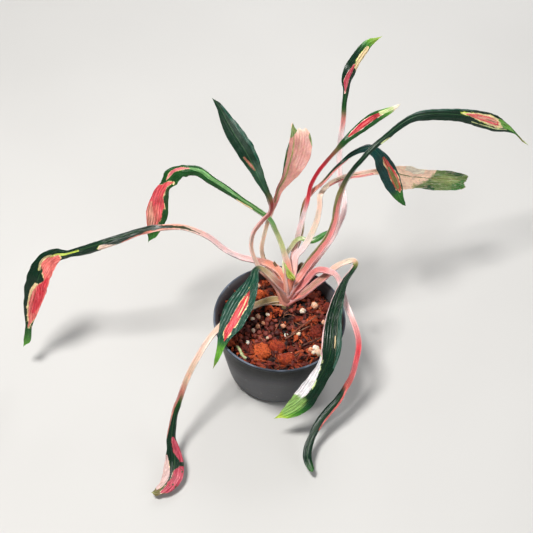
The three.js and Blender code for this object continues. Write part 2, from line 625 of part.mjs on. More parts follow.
// The bark mix that fills the pot, with a plain hole where the stem stands
function soilSolid(stemSeat) {
  const insideRadius = (height) => potRadius(height) - WALL - SEAT_GAP;
  const surface = SOIL_RINGS.map((share) => [insideRadius(SOIL_LEVEL) * share, SOIL_LEVEL]);
  const body = turned([...insideProfile(SEAT_GAP), ...surface], POT_SEGMENTS);
  const points = body.attributes.position;
  for (let i = 0; i < points.count; i += 1) {
    if (points.getZ(i) > SOIL_LEVEL - 1) {
      points.setZ(i, soilHeight(points.getX(i), points.getY(i)));
    }
  }
  let soil = solidFrom(body);
  const next = fractions(7);
  for (const large of LARGE_CHUNKS) {
    soil = soil.add(chunk(large, next));
  }
  const stem = stemPoint(SOIL_LEVEL);
  for (let i = 0; i < SMALL_CHUNKS; i += 1) {
    const reach = SMALL_REACH * Math.sqrt(next());
    const angle = 2 * Math.PI * next();
    const x = reach * Math.cos(angle);
    const y = reach * Math.sin(angle);
    const size = SMALL_SIZE * THREE.MathUtils.lerp(0.8, 1.3, next());
    const high = underLowLeaf(x, y) ? 0.6 * size : size;
    const kind = i % 3 ? 'pellet' : 'bark';
    const turn = 360 * next();
    if (Math.hypot(x - stem.x, y - stem.y) > STEM_CLEARANCE) {
      soil = soil.add(chunk([kind, x, y, size, 0.9 * size, high, turn], next));
    }
  }
  const roomTop = SOIL_LEVEL + TALLEST_CHUNK;
  const room = [...insideProfile(SEAT_GAP), [insideRadius(roomTop), roomTop], [0, roomTop]];
  return soil.subtract(stemSeat).intersect(solidFrom(turned(room, POT_SEGMENTS)));
}

// The leaning stem, grown by a margin for the seats that are cut in its neighbours
function stemSolid(margin) {
  const length = STEM_FOOT.distanceTo(STEM_TOP);
  const profile = [
    [0, -margin],
    [STEM_RADII[0][0] + margin, -margin],
    ...curveFrom(STEM_RADII.slice(1), margin, 0),
    [STEM_TIP_RADIUS + margin, length + margin],
    [0, length + STEM_TIP_DOME + margin],
  ];
  const lean = STEM_TOP.clone().sub(STEM_FOOT).normalize();
  const turn = new THREE.Quaternion().setFromUnitVectors(new THREE.Vector3(0, 0, 1), lean);
  const geometry = turned(profile, STEM_SEGMENTS).applyQuaternion(turn);
  return solidFrom(geometry.translate(STEM_FOOT.x, STEM_FOOT.y, STEM_FOOT.z));
}

// One named part of the plant, with its own material
function piece(name, solid, colour, roughness) {
  const material = new THREE.MeshStandardMaterial({ color: colour, roughness, metalness: 0 });
  const mesh = new THREE.Mesh(geometryFrom(solid), material);
  mesh.name = name;
  return mesh;
}

const stemSeat = stemSolid(SEAT_GAP);
const plant = new THREE.Group();
plant.add(piece('pot', potSolid(), 0x35373b, 0.55));
plant.add(piece('soil', soilSolid(stemSeat), 0x5a2c1e, 0.95));
plant.add(piece('stem', stemSolid(0), 0xc98f7c, 0.6));
for (const leaf of LEAVES) {
  plant.add(piece(leaf.name, leafSolid(leaf, stemSeat), leaf.colour, 0.4));
}

export default plant;
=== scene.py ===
import math
import random

import bmesh
import bpy
import numpy as np
from mathutils import Matrix, Vector


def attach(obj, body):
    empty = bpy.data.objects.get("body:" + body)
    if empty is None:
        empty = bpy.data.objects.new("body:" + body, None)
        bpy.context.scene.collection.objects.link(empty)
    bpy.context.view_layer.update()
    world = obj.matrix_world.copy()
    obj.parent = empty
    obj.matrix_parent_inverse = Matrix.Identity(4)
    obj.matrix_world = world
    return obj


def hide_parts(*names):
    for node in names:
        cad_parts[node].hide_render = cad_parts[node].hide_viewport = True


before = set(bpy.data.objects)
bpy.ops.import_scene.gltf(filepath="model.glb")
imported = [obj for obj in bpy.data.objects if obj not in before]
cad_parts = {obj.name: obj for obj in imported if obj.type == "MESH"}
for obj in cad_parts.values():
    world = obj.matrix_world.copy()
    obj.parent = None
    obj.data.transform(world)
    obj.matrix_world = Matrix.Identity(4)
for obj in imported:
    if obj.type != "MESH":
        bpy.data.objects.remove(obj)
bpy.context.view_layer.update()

MM = 0.001
BODY = "root"
WHOLE_TURN = 2 * math.pi

# The camera, worked out from how the photograph shows the pot's rim. Lengths are in metres.
IMAGE_SIDE = 533
SENSOR_WIDTH = 36
FOCAL_PIXELS = 1016
CAMERA_PITCH = math.radians(50.2)
CAMERA_ROLL = math.radians(2.2)
RIM_CENTRE = Vector((0, 0, 84)) * MM
RIM_CENTRE_PIXEL = (279.5, 316.1)
RIM_DISTANCE = 1.0

# The studio, in metres and watts. The floor and the sky grow lighter towards the horizon.
FLOOR_REACH = 60
FLOOR_SHADES = ((0.3, (203, 202, 200)), (0.7, (208, 207, 205)))
FLOOR_GLOW = (240, 239, 237)
FLOOR_GLOW_START = 0.55
FLOOR_GLOW_FULL = 3.0
FLOOR_GLOW_POWER = 0.6
SKY_LIGHT = 0.22
HORIZON_LIGHT = 0.66
HORIZON_HEIGHT = 0.3
LIGHT_TARGET = Vector((0, 0, 0.12))
LIGHTS = [
    dict(name="key", place=(-0.45, -0.15, 1.5), size=0.36, power=24, colour=(1.0, 0.98, 0.95)),
    dict(name="fill", place=(1.2, -0.9, 0.9), size=1.0, power=5, colour=(0.94, 0.97, 1.0)),
    dict(name="rim", place=(0.3, 1.3, 1.1), size=0.7, power=9, colour=(1.0, 1.0, 1.0)),
]

# The pot, in millimetres, as the frame has it. A profile is pairs of radius and height.
RIM_RADIUS = 65
POT_HEIGHT = 84
FOOT_RADIUS = 43
WALL = 1.6
FLOOR = 2.4
LIP_HEIGHT = 3.6
LIP_OVERHANG = 1.5
FOOT_BULGE = 5.5
WALL_CURVE = 0.85
WALL_START = 9
WALL_RINGS = 22
FOOT_PROFILE = [(0, 0), (FOOT_RADIUS, 0), (44.6, 0.25), (46.6, 1.4), (48, 2.9), (48.9, 5)]
LIP_PROFILE = [
    (64.2, 80.6), (64.9, 81), (65.1, 81.7), (65.1, 82.6), (65, 83.4), (64.6, 83.85), (64, 84), (63.4, 83.8),
    (62.9, 83.2),
]
INNER_PROFILE = [(47, 5.2), (45.6, 3.6), (43.5, FLOOR), (30, FLOOR), (0, FLOOR)]
POT_SEGMENTS = 112
DRAIN_COUNT = 6
DRAIN_RADIUS = 4
DRAIN_CIRCLE = 30
DRAIN_SEGMENTS = 32

# How the thin wall is out of round: the share, waves in a turn, start and change with height
POT_WAVES = [(0.0022, 2, 0.6, 0), (0.0012, 5, 0, 0.03)]

# Where the pot's looks change, in metres: heights of the lip's painted sheen and painted highlight, and
# distances that mark the wall's inside
LIP_SHEEN_BAND = (0.0795, 0.082)
RIM_HIGHLIGHT_BAND = (0.0828, 0.0838)
INSIDE_BAND = (0.0516, 0.0509)
WALL_SLOPE = 0.14

# The stem, in millimetres. Its radii are pairs of radius and distance along it from its foot.
STEM_FOOT = np.array([2.0, 22.0, 50.0])
STEM_TOP = np.array([10.0, 35.0, 100.0])
STEM_RADII = [
    (5.5, 0), (6.4, 5), (6.4, 20), (7.2, 24), (7, 29), (7.8, 33), (7.6, 38), (8, 42), (7.6, 46), (6, 51),
    (4, 52.9), (0, 53.7),
]
STEM_CORE = 0.72
STEM_SLIM = 0.42
STEM_SLIM_BAND = (34, 51)
STEM_RING_DEPTH = 0.16
STEM_RING_RATE = 1.5
STEM_RINGS = 90
STEM_SEGMENTS = 120
STEM_WRAPS = 2
STEM_WRAP_PITCH = 46
STEM_WRAP_STEP = 0.6

# The flat stalk bases round the stem, in millimetres. Places are counted in a leaf's rows.
SHEATH_LENGTH = 26
SHEATH_LOWEST = 18
SHEATH_STEPS = 22
SHEATH_WIDTH_STEPS = 24
SHEATH_PLACES = (0.55, 1.85)
SHEATH_GAP = 0.5
SHEATH_LAYER = 0.22

# A leaf's section, in millimetres, and how many steps it has along each row and across. A patch that
# reaches beyond the edge runs over it, and the uneven edge of one narrower than the calm width is calmer.
ROOT_WIDTH = 5.5
STALK_DEPTH = 3
STALK_BEND = 0.45
WIDE_STALK = 6
WIDE_STALK_BEND = 0.14
LEAST_WIDTH = 1.2
TAPER = 0.7
STALK_STEPS = 7
BLADE_STEPS = 13
ACROSS_SPACING = 0.5
LEAST_STEPS = 20
MOST_STEPS = 46
EVEN_STEPS = 0.65
VEIN_SPACING = 5.5
VEIN_SLANT = 1.4
BEYOND_EDGE = 1.04
CALM_WIDTH = 10
OVER_EDGE = 3
SPOT_FADE = 0.4
SMALL_LEAF_SEED = 40

# The relief of a leaf's blade. Depths, heights and widths are in millimetres. The rest are shares and rates.
EDGE_UNEVEN = 0.07
CRUMPLE_UNEVEN = 0.1
RIPPLE_SHARE = 0.05
RIPPLE_RATE = 2.3
RIPPLE_SLANT = 1.3
EDGE_SHARE = 0.1
RIDGE_RATE = 2.3
RIDGE_HEIGHT = 0.34
SMALL_RIDGE_HEIGHT = 0.12
VEIN_DEPTH = 0.08
VEIN_SPREAD = 0.28
LUMP_HEIGHT = 0.4
GROOVE_WIDTH = 0.7
GROOVE_DEPTH = 0.22
RIB_WIDTH = 1.2
RIB_DEPTH = 0.95
BLADE_THICKNESS = 0.2
TORN_UNEVEN = 1.3

# The mix, in millimetres
SOIL_LEVEL = 70
SOIL_DOME = 2
SOIL_REACH = 60.5
BED_PROFILE = [(0, FLOOR + 0.3), (43.2, FLOOR + 0.3), (46.7, 5.5)]
BED_HEIGHTS = (12, 30, 50, 60, 66, 69)
BED_RINGS = 56
BED_SEGMENTS = 180

# The hollow in front of the stem, and how far round its middle no chips lie
BED_HOLLOW = dict(x=7, y=8, long=8, wide=5.5, depth=7)
BARE_LONG = 9
BARE_WIDE = 6

# The loose pieces: how clear they keep of the stem, how many are tried, and how far out they lie
STEM_ROOM = 8.5
MIX_SEED = 11
PELLET_TRIES = 170
PELLET_SHARE = 0.75
CHIP_TRIES = 1500
CHIP_REACH = 59
CHIP_LENGTHS = (2.5, 3.5, 5, 7, 8, 10, 12, 15)
FIBRE_TRIES = 230
FIBRE_REACH = 57
FIBRE_POINTS = 7

# Large pieces of the mix, as the frame has them: kind, x, y, length, width, height and turn in degrees
LARGE_CHUNKS = [
    ("rock", -16, -36, 17, 16, 11, 20), ("rock", -1, -30, 15, 12, 9, -30), ("rock", 8, -43, 15, 11, 9, 10),
    ("rock", 37, -10, 12, 14, 9, 60), ("rock", 34, 4, 9, 8, 7, 15), ("rock", -20, 34, 10, 9, 8, 40),
    ("rock", 48, 20, 9, 10, 8, 0), ("bark", 36, 37, 6, 12, 6, 12), ("bark", 33, 35, 14, 8, 5, -20),
    ("bark", 28, 1, 22, 6, 5, 40), ("bark", -35, -30, 14, 9, 6, -35), ("bark", -45, -22, 9, 12, 5, 20),
    ("bark", -14, -50, 18, 7, 5, -12), ("bark", 24, -47, 16, 7, 5, 25), ("bark", -36, 38, 13, 8, 5, 30),
    ("bark", 26, -25, 14, 8, 5, -50),
]

# Perlite grains: x, y and radius
PERLITE = [
    (-21, 6, 1.8), (-12, 8, 1.9), (5, -5, 1.8), (22, 13, 2.4), (36, 21, 2.2), (36, -31, 2.6), (39, -34, 2.4),
    (33, -37, 2), (-30, -27, 1.7), (7, -17, 1.6), (-21, -8, 2), (-24, -12, 1.6), (-17, -2, 1.7),
    (-26, 1, 1.5), (21, 27, 1.8), (-22, 45, 1.8), (44, 2, 1.6), (12, -37, 1.3), (-10, -22, 1.2),
    (31, -34, 1.8), (20, -14, 1.3),
]

# Sticks on the mix. A colour is red, green and blue from 0 to 255, from dark to light.
TWIG_RINGS = 25
TWIGS = [
    dict(name="mix_green_stick", start=(-41, -31, 74), end=(-31, -45, 73), radius=1.4, sag=0.6,
         colours=((142, 152, 100), (178, 188, 136), (206, 212, 170))),
    dict(name="mix_red_twig", start=(12, -16, 76), end=(38, 7, 77), radius=0.9, sag=1.6,
         colours=((84, 34, 22), (140, 74, 50), (186, 122, 90))),
    dict(name="mix_thin_twig", start=(6, -22, 76), end=(30, -6, 77.5), radius=0.6, sag=1,
         colours=((66, 34, 26), (132, 88, 68), (190, 150, 120))),
    dict(name="mix_dark_twig", start=(22, -30, 76), end=(40, -20, 77), radius=0.8, sag=0.8,
         colours=((40, 18, 14), (84, 40, 28), (132, 76, 54))),
]

# How the mix's loose pieces look. Their colours run from dark to light by their tint and by blotches of
# one scale. Fine is a finer noise's scale and detail, and along is how far it is drawn out. A layer is
# where the finer noise starts and fills it, its most and its colour. Pits are dark holes in the surface.
# Then come the range of roughness, how strong the relief is and how deep, in metres.
LOOSE_LOOKS = {
    "bark_chips": dict(
        colours=((26, 6, 5), (112, 32, 16), (200, 90, 44)), scale=240, fine=(900, 5.0), along=0.25,
        layers=[(0.5, 0.68, 0.6, (28, 12, 10)), (0.42, 0.3, 0.35, (182, 92, 56))],
        roughness=(0.42, 0.7), relief=(0.8, 0.0008), blotched_relief=True,
        settings=dict(Specular_IOR_Level=0.35),
    ),
    "porous_rock": dict(
        colours=((66, 12, 4), (156, 44, 15), (218, 98, 42)), scale=200, fine=(900, 5.0),
        pits=dict(scale=760.0, band=(0.42, 0.22), rough_band=(0.4, 0.6), most=0.8, colour=(52, 16, 10)),
        layers=[(0.46, 0.36, 0.8, (58, 14, 8)), (0.58, 0.7, 0.5, (232, 150, 92))],
        roughness=(0.6, 0.85), relief=(0.9, 0.001),
    ),
    "clay_pellets": dict(
        colours=((46, 13, 12), (104, 38, 31), (164, 82, 66)), scale=320, fine=(1500, 4.0),
        layers=[(0.54, 0.7, 0.5, (54, 24, 20))], roughness=(0.5, 0.75), relief=(0.6, 0.0005),
    ),
    "perlite": dict(
        colours=((222, 146, 104), (250, 224, 196), (255, 250, 242)), scale=420, fine=(1300, 4.0),
        layers=[(0.56, 0.72, 0.5, (176, 104, 68))], roughness=(0.55, 0.8), relief=(0.7, 0.0006),
        settings=dict(Subsurface_Weight=0.15, Subsurface_Scale=0.0015),
    ),
    "coco_fibre": dict(
        colours=((44, 18, 13), (120, 62, 40), (178, 122, 88)), scale=500, layers=[], roughness=(0.5, 0.75),
        relief=(0.5, 0.0004),
    ),
}

# Colours by name, as red, green and blue from 0 to 255
COLOURS = {
    "ash_pink": (218, 184, 178), "beige": (212, 186, 160), "blue_green": (16, 72, 54),
    "blush": (246, 204, 202), "bright_green": (98, 156, 52), "brown_red": (140, 56, 50),
    "coral": (232, 78, 88), "coral_red": (216, 48, 64), "cream": (238, 212, 160),
    "cream_pink": (236, 204, 186), "cream_white": (242, 230, 208), "crimson": (180, 24, 44),
    "deep_green": (8, 42, 25), "dry_brown": (124, 94, 74), "dry_dark": (72, 54, 44),
    "dull_orange": (136, 80, 52), "dusty_pink": (184, 128, 120), "fresh_green": (146, 190, 100),
    "grey_green": (40, 72, 52), "leaf_green": (48, 110, 36), "leaf_light": (110, 164, 96),
    "lime": (192, 212, 78), "mid_green": (20, 74, 26), "moss": (92, 122, 62), "moss_light": (132, 152, 84),
    "olive": (122, 122, 64), "olive_beige": (182, 166, 120), "olive_brown": (108, 94, 58),
    "olive_dark": (54, 70, 42), "pale_lime": (200, 212, 148), "pale_peach": (255, 214, 188),
    "peach": (234, 162, 140), "pink": (230, 146, 146), "pink_red": (186, 60, 82), "rose": (216, 136, 130),
    "rose_brown": (178, 116, 104), "rust": (186, 74, 48), "salmon": (230, 114, 106),
    "salmon_pink": (218, 116, 122), "taupe": (196, 154, 136), "teal": (10, 56, 52),
    "white": (255, 250, 252), "warm_white": (255, 236, 212), "white_green": (222, 230, 206),
    "white_pink": (252, 232, 234),
}

# Each leaf from its root to its tip, in millimetres, as the frame has it. A root is a height on the stem,
# and the channel is the way that a stalk's upper face looks. A stalk's row is x, y, z and width. A blade's
# row is x, y, z, width, how much it bends across and its upper face's way, or the way of the row before
# where it is left out. Other places are counted in these rows from the root, and shares run across the
# leaf from edge to edge, from -1 to 1. A crumple is its place, reach and depth. An outline's row is a place
# and how wide the two sides are there. A tone is a place and the colour there. A patch is its colour, how
# soft its edge is, its rim's colour and width where it has one, and rows of a place and the two shares
# that it lies between there. A tear is how far each part of a torn end reaches out. Ridges and streaks
# scale those of other leaves, taper is how many rows the pointed tip takes, coat is the gloss, dull adds
# roughness, pale_back is how pale the back is, mottle is the colour of fine flecks, and spots are the two
# places that dark spots lie between.
LEAVES = [
    dict(
        name="leaf_far_left", slot="dark_leaf", root=89, channel=(0.3, -0.3, 1),
        stalk=[
            (0, 46, 95, 7.5), (-11, 53, 99, 8), (-26, 53, 105, 6.5), (-41, 50, 113, 6), (-56, 47, 127, 5.5),
            (-70, 47, 143, 5.5), (-84, 44, 156, 5.5), (-98, 41, 164, 5.5), (-117, 37, 166, 6),
        ],
        blade=[
            (-136, 36, 162, 11, -1.6, 0, -0.4, 1), (-155, 32, 156, 16, -2), (-174, 28, 150, 18, -2),
            (-191, 26, 143, 16, -1.8, 0, -0.5, 1), (-206, 24, 138, 10, -1.3, -0.2, -0.6, 0.8),
            (-219, 26, 132, 16, -0.7, -0.5, -0.7, 0.6), (-229, 24, 122, 23, 0.3, -0.4, -0.8, 0.5),
            (-237, 15, 107, 25, 0.4, -0.2, -0.9, 0.4), (-242, 9, 89, 21, 0.4, 0, -0.9, 0.4),
            (-247, 4, 71, 14, 0.5, 0.1, -0.9, 0.4), (-251, -1, 54, 7, 0.6, 0, -0.9, 0.4),
            (-254, -6, 40, 7, 0.5, -0.2, -0.9, 0.4), (-259, -10, 29, 2, 0.3),
        ],
        crumples=[(12.8, 0.5, 1.5), (14.2, 0.6, 1.6), (16.6, 1.2, 0.8)],
        outline=[
            (11.5, 1, 1), (12.3, 1, 1.35), (13, 1, 1.3), (13.6, 0.9, 0.9), (14.2, 1, 1), (15.5, 1, 0.88),
            (17, 1, 0.9), (18.5, 0.95, 1), (20, 1, 1), (21, 1.5, 1), (21.6, 1.6, 1),
        ],
        tones=[
            (0, "peach"), (2.2, "peach"), (3.2, "blush"), (4.4, "white_pink"), (6, "blush"),
            (7.4, "cream_pink"), (8.6, "peach"), (11.1, "salmon"), (11.5, "deep_green"), (19, "deep_green"),
            (20.2, "mid_green"), (22, "bright_green"),
        ],
        patches=[
            ("olive_dark", 0.5, [
                (6.6, -0.6, -0.5), (7.4, -0.75, 0.1), (8.2, -0.7, 0.4), (9, -0.6, 0.7), (10, -0.6, 1.1),
                (11, -0.7, 1.1), (11.6, -1.1, 1.1),
            ]),
            ("deep_green", 0.8, [
                (8.4, -0.5, 0.4), (9, -0.5, 0.7), (10, -0.5, 1.1), (11, -0.6, 1.1), (11.8, -1.1, 1.1),
            ]),
            ("cream_pink", 0.3, "lime", 0.4, [
                (11.3, -1, -0.7), (11.7, -1, -0.3), (12, -0.9, -0.2), (12.2, -0.7, -0.4),
            ]),
            ("lime", 0.6, [(13.2, -0.1, 0.1), (14.4, -0.2, 0.2), (15.4, -0.1, 0.2)]),
            ("olive_beige", 0.6, "lime", 0.5, [
                (15.2, 0.1, 0.3), (15.6, 0.2, 0.5), (16.1, 0.3, 0.56), (16.5, 0.05, 0.3),
            ]),
            ("cream", 0.5, [(17.2, -0.2, 0.2), (17.7, 0.2, 0.5), (18.3, 0.36, 0.6), (19.2, 0.3, 0.55)]),
            ("salmon", 0.3, "cream", 0.9, [
                (14.6, -0.9, -0.1), (15.2, -1.1, 0.05), (15.6, -1.1, 0.2), (16.1, -1.1, 0.38),
                (16.4, -1.1, 0), (16.8, -1.1, -0.5), (17.1, -1.1, -0.27), (17.6, -1.1, 0.2),
                (18.1, -1.1, 0.4), (18.9, -1.1, 0.4), (19.5, -0.8, 0.35), (20.2, 0.1, 0.3),
            ]),
            ("coral_red", 1.6, [
                (16.6, -0.9, -0.7), (17.4, -0.9, -0.1), (18.4, -0.9, 0.1), (19.1, -0.6, 0),
            ]),
        ],
    ),
    dict(
        name="leaf_left_arch", slot="green_leaf", root=100, channel=(0.4, -0.6, 0.8),
        stalk=[
            (7, 44, 108, 6.5), (4, 50, 115, 7), (-1, 57, 128, 6.5), (-7, 62, 141, 6), (-13, 66, 152, 6),
            (-25, 69, 161, 6.5),
        ],
        blade=[
            (-39, 72, 170, 8, -1, 0.3, -0.7, 0.8), (-54, 75, 181, 11, -1.4),
            (-69, 77, 192, 12, -1.4, 0.3, -0.6, 0.8), (-82, 80, 200, 12, -1.2, 0.1, -0.6, 0.8),
            (-94, 79, 203, 11, -0.9, 0, -0.4, 1), (-105, 79, 198, 13, -0.7, -0.2, -0.4, 0.9),
            (-113, 76, 188, 13, 0.4, -0.3, -0.7, 0.5), (-119, 74, 175, 18, 0.4, -0.1, -0.9, 0.3),
            (-122, 71, 160, 20, 0.4, 0.1, -0.9, 0.3), (-124, 66, 146, 19, 0.5, 0.2, -0.9, 0.3),
            (-128, 62, 131, 12, 0.5), (-133, 59, 119, 2, 0.3),
        ],
        crumples=[(11.2, 0.8, 2.4), (12.5, 0.5, 2), (9.6, 0.6, 0.8)],
        outline=[
            (1.2, 1, 1), (2.6, 0.76, 0.76), (7.6, 0.8, 0.8), (9, 1, 1), (9.8, 1, 1.5), (10.2, 1, 1.1),
            (10.8, 1.1, 1.3), (11.3, 1.3, 1.8), (11.9, 1.5, 1.6), (12.3, 1.5, 1.4), (12.8, 1.3, 0.9),
            (13.3, 1, 0.6), (13.8, 1, 0.7), (14.6, 1, 0.9), (15.4, 1.05, 1.15), (16.2, 1, 1.1), (17, 1, 1),
        ],
        tones=[
            (0, "peach"), (1.2, "peach"), (2, "cream_pink"), (2.7, "pale_lime"), (3.6, "pale_lime"),
            (4.6, "leaf_light"), (6.2, "leaf_green"), (8, "mid_green"), (16.4, "mid_green"),
            (17.2, "leaf_green"), (18, "leaf_green"),
        ],
        patches=[
            ("leaf_light", 0.8, [(5.5, -0.3, 0.4), (7, -0.2, 0.45), (9.5, -0.15, 0.4), (10.8, 0, 0.25)]),
            ("cream", 0.4, [(6.3, -0.9, -0.5), (6.8, -1, -0.5), (7.4, -0.9, -0.6)]),
            ("salmon_pink", 0.4, "cream", 0.4, [
                (10.7, 0.05, 0.12), (11.6, 0, 0.34), (12.4, 0.05, 0.36), (12.9, 0.12, 0.25),
            ]),
            ("coral", 0.3, "cream", 0.45, [
                (12.6, -0.7, -0.55), (13, -0.55, -0.1), (13.4, -0.42, 0.5), (13.8, -0.38, 1.1),
                (14.3, -0.38, 1.1), (15, -0.6, 1.1), (15.5, -0.45, 1.1), (16.2, -0.35, 1.1),
                (16.6, -0.1, 0.7),
            ]),
            ("salmon", 2, [(15, 0, 1.1), (15.8, -0.3, 1.1), (16.4, -0.3, 1.1)]),
            ("peach", 2.4, [(14.7, 0.65, 0.9), (15.4, 0.4, 0.9), (16.2, 0.1, 0.9), (16.6, 0.1, 0.8)]),
        ],
    ),
    dict(
        name="leaf_upper_left", slot="dark_leaf", root=79, channel=(0.6, -0.3, 0.6), ridges=0.25,
        streaks=0.3, coat=0, dull=0.2,
        stalk=[
            (-1, 32, 88, 7), (-11, 37, 97, 6), (-20, 39, 107, 5.5), (-26, 44, 117, 5), (-30, 49, 130, 5),
            (-28, 53, 146, 5), (-20, 55, 161, 5), (-13, 56, 172, 5), (-12, 58, 181, 5.5),
        ],
        blade=[
            (-15, 61, 188, 7, 1.5, 0.5, -0.6, 0.5), (-20, 64, 197, 9, 1.3, 0.5, -0.7, 0.5),
            (-25, 69, 205, 12, 0.9, 0.4, -0.7, 0.6), (-31, 79, 212, 15, 0.6, 0.3, -0.7, 0.7),
            (-39, 89, 221, 18, 0.5), (-49, 101, 229, 18, 0.5), (-58, 114, 236, 12, 0.5, 0.2, -0.7, 0.7),
            (-65, 124, 243, 6, 0.5), (-72, 130, 248, 2, 0.3),
        ],
        outline=[(1.4, 1, 1), (2.6, 0.82, 0.82), (8, 0.82, 0.82), (10, 1, 1)],
        tones=[
            (0, "rose"), (2, "peach"), (3.5, "cream_pink"), (5.5, "cream_pink"), (7.3, "rose"),
            (9, "brown_red"), (9.8, "olive_brown"), (10.8, "grey_green"), (12.4, "grey_green"),
            (13.4, "deep_green"), (18, "deep_green"),
        ],
        patches=[
            ("dull_orange", 0.6, "olive_brown", 0.7, [
                (12.6, -0.2, 0.02), (12.9, -0.4, -0.04), (13.3, -0.55, -0.2), (13.7, -0.62, -0.4),
            ]),
            ("blue_green", 1.4, [(13, 0.7, 1.1), (15, 0.55, 1.1), (17, 0.5, 1.1)]),
            ("rose_brown", 0.6, [(12.7, -0.2, -0.05), (13.2, -0.4, -0.25), (13.6, -0.5, -0.4)]),
        ],
    ),
    dict(
        name="leaf_torn_back", slot="pale_leaf", root=86, channel=(0.4, -0.6, 0.4), ridges=0.35,
        streaks=0.3, coat=0.04, mottle="olive_beige", tear=(7, -1, 1, -2, 0),
        stalk=[
            (-3, 48, 88, 6), (-12, 56, 91, 6), (-18, 63, 97, 5.5), (-20, 65, 111, 5), (-18, 68, 126, 5),
            (-15, 72, 141, 5), (-11, 76, 156, 5),
        ],
        blade=[
            (-8, 79, 167, 6, 1.1, 0.2, -0.8, 0.5), (-5, 82, 178, 8, 1, 0.1, -0.8, 0.5),
            (2, 87, 189, 13, 0.8, 0, -0.8, 0.5), (7, 93, 198, 20, 0.5, 0, -0.7, 0.6),
            (11, 102, 204, 24, 0.4), (13, 112, 209, 23, 0.4, 0.1, -0.7, 0.6), (13, 121, 213, 19, 0.4),
            (12, 128, 215, 13, 0.4),
        ],
        outline=[(1.4, 1, 1), (2.6, 0.82, 0.82), (6, 0.82, 0.82), (7.4, 1, 1)],
        tones=[
            (0, "peach"), (1.6, "cream_white"), (2.4, "warm_white"), (5.4, "warm_white"),
            (6.4, "cream_pink"), (7.6, "rose"), (9, "dusty_pink"), (12, "dusty_pink"), (13.5, "dusty_pink"),
            (15, "cream_pink"),
        ],
        patches=[
            ("olive", 0.5, [(2.2, 0.5, 1.1), (3, 0.55, 1.1), (3.6, 0.9, 1.1)]),
            ("olive", 0.4, [
                (7.6, -0.3, 0.2), (9.5, -0.42, -0.1), (10.9, -0.5, -0.32), (11.6, -0.5, -0.38),
                (13, -0.6, -0.5), (14.2, -0.75, -0.65),
            ]),
            ("mid_green", 0.4, [
                (10, -1.1, -0.9), (11, -1.1, -0.8), (12, -1.1, -0.85), (12.9, -1.1, -0.95),
            ]),
            ("moss", 0.8, [(13.6, -1.1, -0.8), (14.3, -1, -0.5), (15, -0.9, -0.35)]),
            ("moss", 0.5, [(13, 0.95, 1.1), (13.6, 0.8, 1.1), (14.1, 0.9, 1.1)]),
        ],
    ),
    dict(
        name="leaf_front_left", slot="green_leaf", root=84, channel=(0.4, -0.4, 0.8), ridges=1.5,
        stalk=[(1, 30, 94, 7), (-7, 31, 103, 6.5), (-14, 33, 111, 6), (-21, 32, 118, 5.5)],
        blade=[
            (-25, 26, 121, 7, 0.9, 0, -0.3, 1), (-27, 16, 118, 12, 0.8),
            (-32, 4, 113, 20, 0.5, 0.1, -0.4, 1), (-39, -8, 108, 25, 0.4), (-45, -20, 102, 24, 0.3),
            (-51, -32, 96, 15, 0.3), (-55, -42, 89, 8, 0.5, 0, -0.5, 0.8),
            (-58, -50, 82, 5, 0.5, 0, -0.6, 0.7), (-62, -57, 72, 2, 0.3),
        ],
        tones=[
            (0, "rose"), (1.2, "rose_brown"), (2.5, "beige"), (3.7, "olive_beige"), (4.7, "grey_green"),
            (6, "blue_green"), (10.4, "blue_green"), (11.2, "bright_green"), (12.2, "bright_green"),
            (13, "olive"),
        ],
        patches=[
            ("coral_red", 0.3, "cream", 0.8, [
                (6.7, -0.12, 0), (7.2, -0.34, 0.04), (7.7, -0.46, 0.1), (8.1, -0.47, 0.1),
                (8.8, -0.46, 0.16), (9.3, -0.42, 0.18), (9.9, -0.42, 0.28), (10.3, -0.42, 0),
                (10.6, -0.38, -0.2),
            ]),
            ("cream", 0.4, [(7.1, -0.18, -0.1), (7.8, -0.3, -0.2), (8.4, -0.32, -0.2), (8.9, -0.26, -0.2)]),
            ("coral", 0.9, [(8.2, -0.2, 0), (9.2, -0.3, 0), (10, -0.35, 0)]),
        ],
    ),
    dict(
        name="leaf_low_left", slot="green_leaf", root=74, channel=(0.1, -0.2, 1), spots=(15.2, 17.6),
        stalk=[
            (-7, 25, 78, 7), (-20, 18, 80, 6.5), (-31, 8, 84, 6), (-43, -4, 88, 6), (-53, -16, 92, 5.5),
            (-62, -29, 93, 5.5), (-71, -42, 88, 5.5), (-80, -57, 79, 5.5), (-87, -69, 68, 5.5),
            (-92, -81, 57, 5.5),
        ],
        blade=[
            (-96, -91, 48, 8, -1.1, 0.2, -0.4, 1), (-98, -101, 39, 9, -1.2),
            (-99, -110, 30, 12, -1, 0.1, -0.3, 1), (-96, -119, 23, 16, -0.5, 0, -0.3, 1),
            (-95, -128, 17, 19, -0.3, -0.1, -0.2, 1), (-96, -139, 13, 20, -0.4),
            (-101, -148, 10, 17, -0.5, -0.2, -0.2, 1), (-109, -155, 8, 9, -0.4), (-115, -156, 7, 2, -0.2),
        ],
        outline=[
            (12, 1, 1), (13, 0.75, 0.85), (14, 0.72, 0.95), (15, 0.9, 1.1), (16, 1, 1.1), (17.4, 1, 1),
            (18, 0.8, 1.2), (19, 1.5, 1.5),
        ],
        tones=[
            (0, "olive_beige"), (1.8, "olive_beige"), (3.5, "cream_pink"), (4.6, "warm_white"),
            (7, "cream_pink"), (8.9, "beige"), (9.7, "rose_brown"), (10.4, "mid_green"),
            (11.5, "deep_green"), (16.6, "deep_green"), (17.8, "olive_brown"), (19, "olive"),
        ],
        patches=[
            ("rose_brown", 0.5, [(9.6, 0.1, 1.1), (11, 0.4, 1.1), (12.6, 0.7, 1.1), (13, 0.9, 1.1)]),
            ("pink_red", 0.3, [
